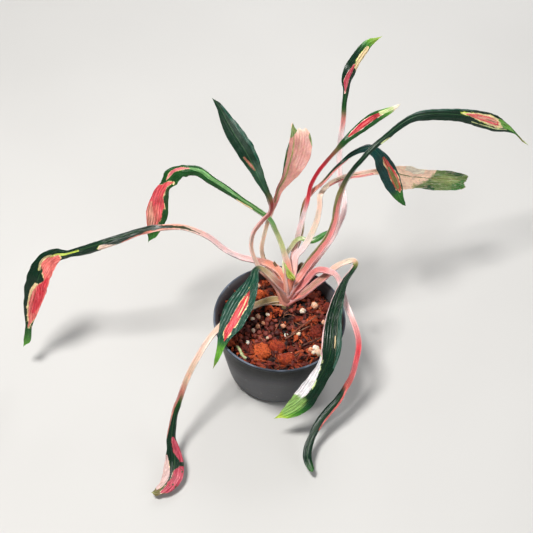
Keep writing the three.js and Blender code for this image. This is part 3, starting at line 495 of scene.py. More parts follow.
                (12.9, -0.5, -0.1), (13.3, -0.9, 0.15), (14.1, -1.1, 0.1), (14.6, -1.1, -0.3),
                (15, -1, -0.6),
            ]),
            ("pink_red", 0.3, "cream_pink", 0.4, [
                (15.3, -1, -0.6), (15.7, -1.1, 0), (16.9, -1.1, 0.05), (17.4, -1, -0.1), (17.8, -0.8, -0.5),
            ]),
            ("ash_pink", 0.3, "cream", 0.3, [
                (14.3, 0.8, 1.1), (15.2, 0.5, 1.1), (16, 0.25, 1.1), (16.8, 0.14, 1.1), (17.5, 0.2, 1.1),
                (18, 0.4, 0.9),
            ]),
        ],
    ),
    dict(
        name="leaf_tall_back", slot="green_leaf", root=85, channel=(-0.4, -0.6, 0.8),
        stalk=[
            (15, 41, 86, 5), (24, 52, 89, 6.5), (33, 59, 99, 6.5), (42, 65, 112, 6), (50, 71, 125, 6),
            (55, 76, 138, 6), (59, 81, 150, 5.5), (59, 89, 161, 5.5), (56, 100, 168, 5.5),
            (53, 109, 180, 5), (52, 116, 195, 5), (52, 121, 212, 5), (53, 125, 230, 4.5),
        ],
        blade=[
            (53, 132, 244, 5.5, -1, 0, -0.8, 0.5), (54, 139, 255, 7, -1.1),
            (54, 145, 263, 11, -0.9, 0.1, -0.8, 0.5), (57, 151, 270, 13, -0.6, 0.2, -0.8, 0.5),
            (62, 161, 274, 12, -0.5, 0.3, -0.7, 0.6), (69, 173, 277, 11, -0.5, 0.3, -0.6, 0.6),
            (75, 183, 278, 8, -0.5, 0.3, -0.5, 0.8), (88, 195, 277, 2, -0.2, 0.2, -0.4, 0.9),
        ],
        tones=[
            (0, "peach"), (2, "blush"), (4, "white_pink"), (9, "white_pink"), (12.3, "white_pink"),
            (13.1, "rose"), (13.8, "mid_green"), (15, "deep_green"), (18.5, "deep_green"),
            (19.6, "leaf_green"), (21, "lime"),
        ],
        patches=[
            ("pink_red", 0.3, "cream_pink", 0.6, [
                (14.8, -0.35, -0.2), (15.3, -0.5, 0.15), (15.8, -0.5, 0.35), (16.6, -0.3, 0.4),
                (17.2, -0.1, 0.4), (17.7, 0.1, 0.35),
            ]),
            ("cream", 0.3, "lime", 0.4, [
                (17.4, 0.4, 0.8), (18, 0.05, 1.1), (18.6, -0.05, 1.1), (19.2, 0, 1), (19.7, 0.2, 0.6),
            ]),
        ],
    ),
    dict(
        name="leaf_long_right", slot="dark_leaf", root=92, channel=(-0.5, -0.6, 0.7),
        stalk=[
            (16, 37, 95, 6.5), (22, 45, 99, 7.5), (29, 52, 108, 8), (38, 57, 122, 7.5), (46, 62, 137, 7),
            (50, 68, 151, 6.5), (51, 73, 166, 6.5), (53, 76, 182, 6), (57, 78, 197, 5.5),
            (63, 81, 209, 5.5),
        ],
        blade=[
            (70, 84, 219, 7, -1.1, -0.2, -0.6, 0.8), (79, 91, 228, 8, -1.3, -0.2, -0.5, 0.8),
            (91, 99, 235, 9, -1.3), (104, 111, 239, 9, -1.2), (117, 121, 241, 9, -1),
            (132, 128, 240, 12, -0.8, 0, -0.5, 0.9), (151, 137, 233, 13, -0.7),
            (171, 145, 225, 14, -0.6, 0.1, -0.6, 0.8), (190, 154, 214, 17, -0.5), (208, 162, 202, 17, -0.4),
            (223, 167, 191, 9, -0.4), (233, 168, 183, 4, -0.3), (242, 169, 173, 3.5, -0.3),
            (249, 168, 168, 2, -0.2),
        ],
        outline=[
            (7.6, 1, 1), (9, 0.85, 0.85), (11, 0.74, 0.74), (13, 0.78, 0.78), (14.4, 1, 1), (16, 1, 1.08),
            (17.4, 1, 0.96), (19, 1, 1.05), (20.6, 1, 1), (21.4, 0.8, 0.8), (22, 0.5, 0.5), (23, 0.4, 0.4),
            (24, 0.6, 0.6),
        ],
        tones=[
            (0, "peach"), (2, "rose"), (5, "pink"), (7, "rose"), (7.7, "rose_brown"), (8.3, "olive_brown"),
            (9.2, "olive_dark"), (10.4, "deep_green"), (21, "deep_green"), (21.8, "leaf_green"),
            (22.6, "olive"), (24, "pale_lime"),
        ],
        patches=[
            ("olive", 0.3, "olive_dark", 0.4, [
                (1.6, -1.1, -0.8), (3.3, -1.1, -0.5), (4.6, -1.1, -0.35), (5.6, -1.1, -0.45),
                (6.6, -1.1, -0.35), (7.6, -1.1, 0), (8.4, -1, 0.4),
            ]),
            ("blue_green", 1.2, [
                (14.5, -1.1, -0.8), (16, -1.1, -0.5), (17.4, -1.1, -0.6), (19, -1.1, -0.9),
            ]),
            ("cream", 0.3, "lime", 0.5, [
                (17.9, -0.3, -0.25), (18.3, -0.45, 0), (18.8, -0.6, 0.25), (19.6, -0.7, 0.5),
                (20.2, -0.5, 0.5), (20.6, -0.1, 0.3),
            ]),
            ("coral", 0.4, [
                (18.1, -0.25, -0.15), (18.5, -0.4, 0.05), (19, -0.42, 0.2), (19.7, -0.42, 0.3),
                (20.2, -0.2, 0.25),
            ]),
            ("salmon", 0.9, [(18.2, -0.3, -0.1), (18.6, -0.3, 0.1), (19.2, -0.36, 0.2), (19.5, -0.3, 0.1)]),
            ("peach", 0.9, [(18.8, -0.2, -0.05), (19.3, -0.25, 0), (19.8, -0.3, 0.1), (20.1, -0.2, 0.1)]),
            ("pale_lime", 0.3, [(18.4, 0.58, 0.66), (19.5, 0.6, 0.74), (20.3, 0.55, 0.7), (21, 0.4, 0.5)]),
            ("bright_green", 0.5, [
                (20.2, -0.7, -0.4), (20.6, -0.9, 0.3), (21.2, -0.9, 0.4), (21.7, -0.4, 0.3),
            ]),
            ("pale_lime", 0.3, [(12.6, 0.6, 1), (12.9, 0.5, 1.1), (13.2, 0.7, 1)]),
        ],
    ),
    dict(
        name="leaf_red_stalk", slot="green_leaf", root=94, channel=(-0.2, -0.6, 0.8),
        stalk=[
            (12, 58, 98, 6), (13, 68, 105, 6), (15, 75, 112, 5.5), (17, 79, 125, 5.5), (20, 83, 142, 5),
            (23, 85, 160, 5), (25, 88, 178, 5), (31, 91, 194, 5), (39, 93, 208, 5), (47, 95, 220, 5),
        ],
        blade=[
            (54, 96, 231, 7, -0.8, -0.1, -0.7, 0.7), (63, 103, 236, 9, -0.6),
            (73, 111, 240, 11, -0.5, 0, -0.7, 0.7), (83, 118, 243, 11, -0.5), (94, 124, 245, 7, -0.5),
            (101, 129, 246, 4, -0.4), (106, 134, 246, 2, -0.2),
        ],
        outline=[(4, 1, 1), (6, 0.8, 0.8), (9.5, 0.72, 0.72), (10.6, 1, 1)],
        tones=[
            (0, "peach"), (1.5, "blush"), (3, "white_pink"), (5.2, "white_pink"), (6.2, "coral"),
            (7, "crimson"), (8.4, "crimson"), (9.2, "brown_red"), (10, "olive_brown"), (10.8, "mid_green"),
            (14, "mid_green"), (15, "bright_green"), (15.8, "cream_white"), (17, "cream_white"),
        ],
        patches=[
            ("crimson", 0.3, "cream_pink", 0.6, [
                (11.4, -0.35, -0.1), (12, -0.55, 0.2), (12.6, -0.65, 0.25), (13.5, -0.6, 0.25),
                (14.2, -0.45, 0.15), (14.6, -0.2, 0),
            ]),
            ("coral", 0.8, [(12.2, -0.25, -0.1), (13, -0.3, 0), (13.8, -0.3, -0.05)]),
            ("pale_lime", 0.5, [(14.3, -0.7, 0), (15, -0.7, 0.2), (15.7, -0.6, 0.2)]),
        ],
    ),
    dict(
        name="leaf_torn_right", slot="pale_leaf", root=97.5, channel=(-0.3, -0.6, 0.8), ridges=0.5,
        streaks=0.5, pale_back=0.04, mottle="beige", tear=(0, 1, -1, 2, -1),
        stalk=[
            (13.5, 47, 101.5, 5.5), (14, 57, 109, 6.5), (21, 61, 117, 6), (28, 67, 130, 6),
            (33, 73, 146, 5.5), (35, 80, 158, 5), (35, 87, 166, 5), (41, 95, 171, 4.5), (50, 97, 178, 5),
            (61, 97, 184, 5.5), (74, 98, 187, 6),
        ],
        blade=[
            (88, 103, 186, 6, 0.9, -0.1, -0.8, 0.6), (102, 115, 176, 12, 0.6, 0, -0.8, 0.5),
            (117, 118, 166, 25, 0.4), (134, 124, 158, 20, 0.3, 0.1, -0.8, 0.5), (151, 129, 152, 21, 0.3),
            (169, 134, 147, 20, 0.3), (179, 136, 144, 16, 0.3), (185, 136, 142, 10, 0.3),
        ],
        outline=[(16.6, 1, 1), (17.4, 1, 1.05), (18.2, 1.15, 1.2), (19, 1.6, 1.5)],
        tones=[
            (0, "peach"), (1.6, "blush"), (3, "white_pink"), (4.2, "cream_white"), (6.4, "cream_pink"),
            (8, "cream_white"), (11, "cream_pink"), (12.5, "pale_peach"), (13.6, "pale_peach"),
            (15, "pale_peach"), (19, "cream_pink"),
        ],
        patches=[
            ("rose", 0.5, [(8.2, 0.4, 1.1), (10, 0.3, 1.1), (11.8, 0.4, 1.1)]),
            ("moss", 2, "olive_beige", 1.6, [
                (14.9, 0.75, 1.1), (15.4, 0.45, 1.1), (15.7, 0, 0.9), (16, -0.5, 1.1), (16.3, -1.1, 1.1),
                (19, -1.1, 1.1),
            ]),
            ("moss_light", 2.6, [(15.9, -0.2, 0.2), (16.6, -0.5, 0.3), (17.4, -0.3, 0.5), (18, 0, 0.4)]),
            ("leaf_green", 2, [(17.2, 0.3, 0.9), (18, 0.1, 1.1), (18.8, -0.6, 1.1)]),
            ("mid_green", 0.9, [(16.6, -1.1, -0.8), (17.4, -1.1, -0.55), (18.2, -1, -0.7)]),
            ("cream_white", 0.4, [(13.9, -1.1, -0.6), (14.6, -1.1, -0.4), (15.3, -1.1, -0.5)]),
            ("olive", 0.3, [(9, -0.15, 0.05), (12, -0.2, -0.08), (14, -0.16, -0.08), (19, -0.16, -0.1)]),
            ("mid_green", 0.4, [(15.4, 0.8, 1.1), (15.8, 0.5, 1.1), (16.1, 0.8, 1.1)]),
        ],
    ),
    dict(
        name="leaf_dark_right", slot="dark_leaf", root=89.5, channel=(-0.2, -0.6, 0.8), taper=0.3,
        stalk=[
            (13, 62, 92, 6), (14, 74, 99, 5.5), (17, 81, 106, 5.5), (19, 86, 118, 5.5), (19, 89, 135, 5),
            (21, 90, 153, 5), (27, 90, 168, 5), (36, 87, 184, 4.5), (45, 91, 196, 5),
        ],
        blade=[
            (52, 92, 206, 6, -1, -0.3, -0.6, 0.6), (62, 100, 211, 7, -1.1, -0.1, -0.5, 0.9),
            (73, 105, 214, 9, -1.2, 0, -0.4, 1), (81, 107, 213, 12, -1, 0.2, -0.4, 0.9),
            (89, 103, 208, 14, -0.7, 0.3, -0.6, 0.7), (96, 99, 197, 18, -0.5, 0.3, -0.8, 0.5),
            (103, 95, 185, 19, -0.4), (109, 92, 173, 15, -0.4, 0.3, -0.8, 0.4), (114, 90, 163, 8, -0.4),
            (120, 88, 155, 2, -0.2),
        ],
        outline=[(4, 1, 1), (6.5, 0.8, 0.8), (9.6, 0.66, 0.66), (11.6, 0.8, 0.8), (12.8, 1, 1)],
        tones=[
            (0, "olive_beige"), (3, "olive_beige"), (5.3, "olive"), (6.3, "peach"), (7.5, "peach"),
            (8.5, "olive_dark"), (9.4, "deep_green"), (12, "teal"), (16.8, "teal"), (17.6, "leaf_green"),
            (19, "mid_green"),
        ],
        patches=[
            ("rose", 0.4, [(7.6, 0.1, 1.1), (8.8, 0.2, 1.1), (9.8, 0.4, 1.1), (10.7, 0.8, 1.1)]),
            ("rust", 0.3, "cream", 0.7, [
                (14.3, -0.4, -0.15), (15, -0.55, 0), (15.6, -0.65, 0.1), (16.3, -0.75, 0.15),
                (16.9, -0.75, 0.05), (17.3, -0.65, -0.3),
            ]),
            ("olive", 0.4, [(15.1, -0.34, -0.1), (16.2, -0.5, -0.05), (17, -0.5, -0.12)]),
            ("coral_red", 0.4, [(14.6, -0.5, -0.4), (15.4, -0.6, -0.45), (16.2, -0.7, -0.6)]),
        ],
    ),
    dict(
        name="leaf_front_right", slot="dark_leaf", root=75, channel=(-0.4, -0.3, 0.9), ridges=1.35,
        stalk=[
            (19, 28, 80, 6.5), (27, 31, 87, 7.5), (36, 35, 95, 7.5), (44, 38, 102, 7), (51, 42, 109, 6),
            (58, 44, 115, 5.5), (66, 44, 120, 5.5), (71, 42, 123, 5),
        ],
        blade=[
            (72, 36, 124, 5.5, 0.8, -0.2, -0.3, 1), (68, 28, 122, 6, 0.8, 0, -0.4, 1),
            (63, 21, 118, 8, 0.8, 0.1, -0.4, 1), (58, 10, 113, 11, 0.7), (54, -3, 108, 14, 0.7),
            (51, -18, 103, 17, 0.7), (50, -33, 98, 20, 0.6), (49, -46, 91, 19, 0.6, 0, -0.5, 1),
            (46, -54, 81, 18, 0.6, 0, -0.6, 0.8), (40, -61, 69, 20, 0.5, -0.1, -0.7, 0.6),
            (33, -68, 57, 23, 0.4, -0.2, -0.8, 0.5), (24, -75, 46, 22, 0.4, -0.2, -0.8, 0.4),
            (13, -79, 36, 14, 0.4, -0.3, -0.8, 0.4), (-2, -83, 28, 2, 0.3),
        ],
        outline=[
            (9.4, 1, 1), (10.2, 0.7, 1), (11.2, 0.66, 1.05), (12.2, 0.85, 1), (13, 1, 1), (15, 1, 1),
            (16, 1.05, 1), (17, 0.95, 1), (18, 0.8, 1), (19, 0.78, 1), (20, 0.88, 1.05), (21, 0.95, 1.1),
            (22, 1, 1),
        ],
        tones=[
            (0, "peach"), (1.5, "rose"), (3.6, "rose"), (5, "cream_pink"), (7, "cream_white"),
            (8.3, "beige"), (9, "olive"), (9.8, "deep_green"), (19.6, "deep_green"), (20.4, "leaf_green"),
            (21, "bright_green"), (21.6, "lime"), (22, "lime"),
        ],
        patches=[
            ("taupe", 1.3, [(1.2, -0.7, 0.2), (2.4, -0.8, 0.6), (3.6, -0.8, 0.6), (4.8, -0.5, 0.3)]),
            ("blue_green", 0.9, [
                (12.4, -1.1, -0.85), (13.4, -1.1, -0.6), (15.6, -1.1, -0.5), (17, -1.1, -0.75),
            ]),
            ("olive_dark", 0.4, [
                (12.6, -0.78, -0.74), (13.4, -0.6, -0.53), (15.6, -0.5, -0.43), (16.8, -0.7, -0.66),
            ]),
            ("blush", 0.3, [
                (9.2, 0.5, 1.1), (10.4, 0.82, 1.1), (13, 0.9, 1.1), (16, 0.86, 1.1), (16.8, 0.6, 1.1),
            ]),
            ("white", 0.3, "pale_lime", 0.9, [
                (16.4, 0.85, 1.1), (17.3, 0.5, 1.1), (18, 0.25, 1.1), (18.7, 0.12, 1.1), (19.3, 0.1, 1.1),
                (19.9, 0.25, 1.1), (20.4, 0.5, 1),
            ]),
            ("fresh_green", 2.4, [
                (19.7, -0.2, 0.6), (20.3, -0.4, 1.1), (21, -0.3, 1.1), (21.4, -0.2, 0.6),
            ]),
            ("cream", 0.3, [(14.9, -0.36, -0.3), (15.3, -0.42, -0.26), (15.7, -0.36, -0.3)]),
        ],
    ),
    dict(
        name="leaf_low_right", slot="dark_leaf", root=80, channel=(-0.2, -0.3, 1), taper=0.2,
        stalk=[
            (15, 32, 84.5, 5.5), (23, 37, 90, 6), (31, 41, 102, 6.5), (38, 39, 111, 6.2), (47, 34, 115, 6),
            (54, 31, 113, 5.5), (59, 26, 106, 5.5), (62, 16, 101, 5.5), (66, 5, 96, 5.5), (71, -7, 92, 5.5),
            (76, -18, 85, 5.5), (78, -27, 75, 5.5), (76, -37, 63, 5.5), (73, -46, 53, 5.5),
        ],
        blade=[
            (67, -56, 46, 7, -1, 0.1, -0.4, 1), (60, -66, 39, 9, -1), (51, -75, 33, 10, -1),
            (42, -86, 27, 9, -0.9), (36, -97, 22, 8, -0.8), (32, -109, 18, 9, -0.6, 0, -0.4, 1),
            (32, -119, 14, 8, -0.5), (37, -130, 11, 2, -0.2),
        ],
        outline=[(20, 1, 1), (21, 1.1, 1), (21.6, 1.5, 1.3), (22, 2.2, 1.9)],
        tones=[
            (0, "rose"), (2.5, "pink"), (4.5, "pink"), (6, "blush"), (8, "white_pink"), (9.6, "blush"),
            (11, "pink"), (12.2, "coral"), (13.4, "salmon_pink"), (14.8, "salmon"), (15.4, "deep_green"),
            (21, "deep_green"), (22, "leaf_green"),
        ],
        patches=[
            ("salmon", 0.3, [
                (14.5, -1.1, 0.4), (15, -1.1, -0.1), (15.6, -1.1, -0.4), (16.5, -1.1, -0.45),
                (17.6, -1.1, -0.55), (18.4, -1, -0.7),
            ]),
        ],
    ),
    dict(
        name="leaf_small", slot="young_leaf", root=97.5, root_width=3, channel=(0.1, -0.6, 0.8),
        stalk=[
            (3.5, 44, 100.5, 3.6), (3.5, 56, 101, 4.5), (5, 64, 104, 4.5), (9, 68, 109, 4.5),
            (14, 71, 117, 4.5), (20, 72, 119, 4.5),
        ],
        blade=[
            (25, 70, 118, 5, -0.9, 0, -0.4, 1), (32, 74, 115, 6.5, -0.8), (40, 82, 113, 6.5, -0.7),
            (52, 96, 110, 2, -0.3),
        ],
        tones=[
            (0, "pale_lime"), (3, "white_green"), (5, "pale_lime"), (7, "leaf_light"), (10, "leaf_green"),
        ],
        patches=[
            ("white_green", 0.4, [(6, -0.5, 0), (7.5, -0.4, 0), (8.6, -0.3, -0.1)]),
        ],
    ),
    dict(
        name="new_shoot", slot="young_leaf", root=98, root_width=5, channel=(-0.2, -1, 0.3),
        stalk=[(13, 31, 105, 5)],
        blade=[(9, 33, 110, 6, 1.9, -0.2, -1, 0.3), (5, 36, 115, 5, 2), (2, 39, 121, 2, 1.5)],
        outline=[(0, 0.6, 0.6), (2, 0.46, 0.46), (4, 0.5, 0.5)],
        tones=[(0, "lime"), (2, "lime"), (4, "pale_lime")],
        patches=[
            ("olive", 0.3, [(1.4, -0.3, 0.1), (2.2, -0.2, 0.2)]),
        ],
    ),
]

# The shoot's second prong, and dry scraps of old sheaths behind the crown, in the leaves' form
SMALL_LEAVES = [
    dict(
        name="new_shoot_prong", slot="young_leaf", root=99, root_width=2.4, channel=(-0.2, -1, 0.3),
        stalk=[(12, 31, 104, 2.6)],
        blade=[(8, 31, 108, 3, 1.4, -0.2, -1, 0.3), (6, 32.5, 113, 2.6, 1.4), (5, 34, 118, 1.6, 1.2)],
        tones=[(0, "lime"), (2, "lime"), (4, "pale_lime")],
        patches=[],
    ),
    dict(
        name="dry_scrap_left", slot="stem", root=84, channel=(0, -1, 0.3), mottle="beige",
        tear=(1, -1, 1, 0, 1),
        stalk=[(3, 42, 90, 5)],
        blade=[
            (-1, 47, 93, 5, -1.2, 0.2, -0.9, 0.4), (-4, 51, 97, 6.5, -1.6, 0.3, -0.9, 0.3),
            (-7, 54, 101, 4, -1.8, 0.3, -0.8, 0.5),
        ],
        tones=[(0, "dry_brown"), (2, "dry_dark"), (3.5, "dry_brown"), (5, "dry_dark")],
        patches=[],
    ),
    dict(
        name="dry_scrap_right", slot="stem", root=84, channel=(0, -1, 0.3), mottle="beige",
        tear=(0, -1, 1, -1, 1),
        stalk=[(11, 43, 88, 5)],
        blade=[
            (15, 49, 92, 5.5, -1.2, -0.3, -0.9, 0.4), (18, 53, 96, 7, -1.6),
            (21, 56, 100, 5, -1.8, -0.3, -0.8, 0.5),
        ],
        tones=[(0, "dry_brown"), (2, "dry_brown"), (3, "dry_dark"), (5, "dry_brown")],
        patches=[],
    ),
]


# Small helpers for numbers and curves
def unit(vector):
    vector = np.array(vector, float)
    return vector / np.linalg.norm(vector)


def smooth_step(low, high, value):
    share = np.clip((value - low) / (high - low), 0, 1)
    return share * share * (3 - 2 * share)


def linear(colour):
    """A colour's name or its numbers from 0 to 255, as linear red, green and blue."""
    shares = np.array(COLOURS[colour] if isinstance(colour, str) else colour, float) / 255
    return np.where(shares <= 0.04045, shares / 12.92, ((shares + 0.055) / 1.055) ** 2.4)


def waves(seed, x, y, size, count=6):
    """A smooth uneven surface from -1 to 1: sine waves of about one size that run in many directions."""
    draw = random.Random(seed)
    total = 0
    for _ in range(count):
        angle = draw.uniform(0, WHOLE_TURN)
        rate = WHOLE_TURN / (size * draw.uniform(0.7, 1.5))
        total = total + np.sin(rate * (x * math.cos(angle) + y * math.sin(angle)) + draw.uniform(0, 6))
    return total / count


def stem_place(share):
    """The place on the stem's axis at a share of its length."""
    return STEM_FOOT + (STEM_TOP - STEM_FOOT) * share


# Node materials
class Nodes:
    """The shader nodes of a material or of the world. A colour may be a name, numbers or a node's output."""

    def __init__(self, tree):
        self.tree = tree

    def node(self, kind, settings=None, **inputs):
        """A new node. Settings are its own properties, and inputs are numbers or other nodes' outputs.

        An input is called by its socket's name, or by n and its socket's number.
        """
        made = self.tree.nodes.new("ShaderNode" + kind)
        for key, value in (settings or {}).items():
            setattr(made, key, value)
        for key, value in inputs.items():
            numbered = key[0] == "n" and key[1:].isdigit()
            socket = made.inputs[int(key[1:]) if numbered else key.replace("_", " ")]
            if isinstance(value, bpy.types.NodeSocket):
                self.tree.links.new(value, socket)
            elif value is not None:
                socket.default_value = value
        return made

    def maths(self, operation, first, second=None):
        return self.node("Math", {"operation": operation}, n0=first, n1=second).outputs[0]

    def plus(self, first, second):
        return self.maths("ADD", first, second)

    def minus(self, first, second):
        return self.maths("SUBTRACT", first, second)

    def times(self, first, *others):
        for other in others:
            first = self.maths("MULTIPLY", first, other)
        return first

    def positive(self, value):
        return self.maths("ABSOLUTE", value)

    def offset(self, value, factor, middle=0.5):
        """How far a value is from a middle value, times a factor."""
        return self.times(self.minus(value, middle), factor)

    def between(self, value, low, high, new_low=0.0, new_high=1.0, soft=True):
        """A value from low to high, moved to the range from new_low to new_high."""
        settings = {"interpolation_type": "SMOOTHSTEP" if soft else "LINEAR"}
        made = self.node("MapRange", settings, n0=value, n1=low, n2=high, n3=new_low, n4=new_high)
        return made.outputs[0]

    def spread(self, noise, low, high, soft=True):
        """A noise's usual range, moved to the range from low to high."""
        return self.between(noise, 0.3, 0.7, low, high, soft)

    def attribute(self, name, output="Fac"):
        return self.node("Attribute", {"attribute_name": name}).outputs[output]

    def position(self):
        return self.node("TexCoord").outputs["Object"]

    def parts(self, vector):
        return self.node("SeparateXYZ", None, n0=vector).outputs

    def vector_maths(self, operation, first, second=None):
        return self.node("VectorMath", {"operation": operation}, n0=first, n1=second).outputs

    def stretched(self, vector, x, y, z):
        return self.vector_maths("MULTIPLY", vector, (x, y, z))[0]

    def cloud(self, vector, scale, detail=3.0, roughness=0.55):
        made = self.node("TexNoise", None, Vector=vector, Scale=scale, Detail=detail, Roughness=roughness)
        return made.outputs[0]

    def cells(self, vector, scale):
        return self.node("TexVoronoi", None, Vector=vector, Scale=scale).outputs[0]

    def rgba(self, colour):
        return colour if isinstance(colour, bpy.types.NodeSocket) else (*linear(colour), 1)

    def mixed(self, amount, first, second, blend="MIX"):
        settings = {"data_type": "RGBA", "blend_type": blend}
        made = self.node("Mix", settings, n0=amount, n6=self.rgba(first), n7=self.rgba(second))
        return made.outputs[2]

    def dyed(self, colour, dye):
        return self.mixed(1.0, colour, dye, "MULTIPLY")

    def ramp(self, value, *stops):
        """A colour ramp. A stop is a place from 0 to 1 and a linear colour."""
        made = self.node("ValToRGB", None, n0=value)
        elements = made.color_ramp.elements
        elements[0].position, elements[0].color = stops[0]
        elements[1].position, elements[1].color = stops[-1]
        for place, colour in stops[1:-1]:
            elements.new(place).color = colour
        return made.outputs[0]

    def shades(self, value, *stops):
        return self.ramp(value, *[(place, self.rgba(colour)) for place, colour in stops])


class Skin(Nodes):
    """The nodes of a new material."""

    def __init__(self, name):
        self.material = bpy.data.materials.new(name)
        self.material.use_nodes = True
        super().__init__(self.material.node_tree)
        self.tree.nodes.clear()

    def finish(self, colour, roughness, bumps, strength, depth, **settings):
        """Joins the surface's parts and gives the material. The relief's depth is in metres."""
        normal = self.node("Bump", None, Strength=strength, Distance=depth, Height=bumps).outputs[0]
        shader = self.node(
            "BsdfPrincipled", None, Base_Color=colour, Roughness=roughness, Normal=normal, **settings)
        output = self.node("OutputMaterial")
        self.tree.links.new(shader.outputs[0], output.inputs[0])
        return self.material


# Pieces
def added(name, data):
    """A new object in the scene."""
    made = bpy.data.objects.new(name, data)
    bpy.context.scene.collection.objects.link(made)
    return made


def new_piece(name, points, faces, material, replaces, slot, smooth=True):
    """A mesh piece, with its points in millimetres, that stays with the plant."""
    mesh = bpy.data.meshes.new(name)
    mesh.from_pydata((np.asarray(points, float) * MM).tolist(), [], faces)
    mesh.validate()
    mesh.polygons.foreach_set("use_smooth", [smooth] * len(mesh.polygons))
    mesh.materials.append(material)
    piece = added(name, mesh)
    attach(piece, BODY)
    if replaces:
        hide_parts(*replaces)
    return piece


def store(piece, name, values, kind="FLOAT"):
    """Keeps a value for each point of a piece, for its material to read."""
    field = {"FLOAT": "value", "FLOAT_VECTOR": "vector", "FLOAT_COLOR": "color"}[kind]
    held = piece.data.attributes.new(name, kind, "POINT")
    held.data.foreach_set(field, np.asarray(values, np.float32).ravel())


# Forms made of rings
def ring_faces(rings):
    """Faces between rings of point numbers. A ring of one point is a tip."""
    faces = []
    for low, high in zip(rings, rings[1:]):
        count = max(len(low), len(high))
        for i in range(count):
            k = (i + 1) % count
            if len(low) == 1:
                faces.append((low[0], high[k], high[i]))
            elif len(high) == 1:
                faces.append((low[i], low[k], high[0]))
            else:
                faces.append((low[i], low[k], high[k], high[i]))
    return faces


def turned(profile, segments):
    """Points and faces of a closed form, turned from a profile that starts and ends on the axis."""
    points = []
    rings = []
    for radius, height in profile:
        size = segments if radius else 1
        rings.append(list(range(len(points), len(points) + size)))
        for i in range(size):
            angle = WHOLE_TURN * i / segments
            points.append((radius * math.cos(angle), radius * math.sin(angle), height))
    return np.array(points, float), ring_faces(rings)


def tube(path, radii, sides):
    """Points and faces of a closed tube along a path."""
    path = np.array(path, float)
    points = []
    for i, here in enumerate(path):
        along = unit(path[min(i + 1, len(path) - 1)] - path[max(i - 1, 0)])
        across = unit(np.cross(along, (0.1, 0.2, 1)))
        up = np.cross(across, along)
        for k in range(sides):
            angle = WHOLE_TURN * k / sides
            points.append(here + radii[i] * (across * math.cos(angle) + up * math.sin(angle)))
    rings = [list(range(i * sides, (i + 1) * sides)) for i in range(len(path))]
    faces = ring_faces(rings)
    faces.append(tuple(reversed(rings[0])))
    faces.append(tuple(rings[-1]))
    return np.array(points), faces


def sheet_faces(count, size):
    """Faces of a closed sheet, whose rings run along its upper side and return along its back."""
    rings = [list(range(i * size, (i + 1) * size)) for i in range(count)]
    first, last = rings[0], rings[-1]
    faces = ring_faces(rings)
    for j in range(size // 2 - 1):
        k = size - 1 - j
        faces.append((first[j], first[k], first[k - 1], first[j + 1]))
        faces.append((last[j], last[j + 1], last[k - 1], last[k]))
    return faces


# Leaves
def leaf_rows(leaf):
    """All of a leaf's rows in one form: x, y, z, width, bend and the upper face's way."""
    start = stem_place((leaf["root"] - STEM_FOOT[2]) / (STEM_TOP[2] - STEM_FOOT[2]))
    stalk = [(*start, leaf.get("root_width", ROOT_WIDTH)), *leaf["stalk"]]
    channel = unit(leaf["channel"])
    blade_face = unit(leaf["blade"][0][5:])
    rows = []
    for i, (x, y, z, width) in enumerate(stalk):
        face = channel + (blade_face - channel) * i / len(stalk)
        bend = STALK_BEND + WIDE_STALK_BEND * max(0, width - WIDE_STALK)
        rows.append([x, y, z, width, bend, *face])
    for row in leaf["blade"]:
        blade_face = unit(row[5:]) if len(row) > 5 else blade_face
        rows.append([*row[:5], *blade_face])
    return np.array(rows, float), len(stalk)


def rows_at(rows, places):
    """Catmull-Rom curves through the rows, at places counted in rows."""
    last = len(rows) - 1
    i = np.minimum(places.astype(int), last - 1)
    f = (places - i)[:, None]
    here, after = rows[i], rows[i + 1]
    before = np.where(i[:, None] > 0, rows[i - 1], 2 * here - after)
    beyond = np.where(i[:, None] + 2 <= last, rows[np.minimum(i + 2, last)], 2 * after - here)
    slope = after - before
    square = 2 * before - 5 * here + 4 * after - beyond
    cube = 3 * here - before - 3 * after + beyond
    return 0.5 * (2 * here + slope * f + square * f**2 + cube * f**3)


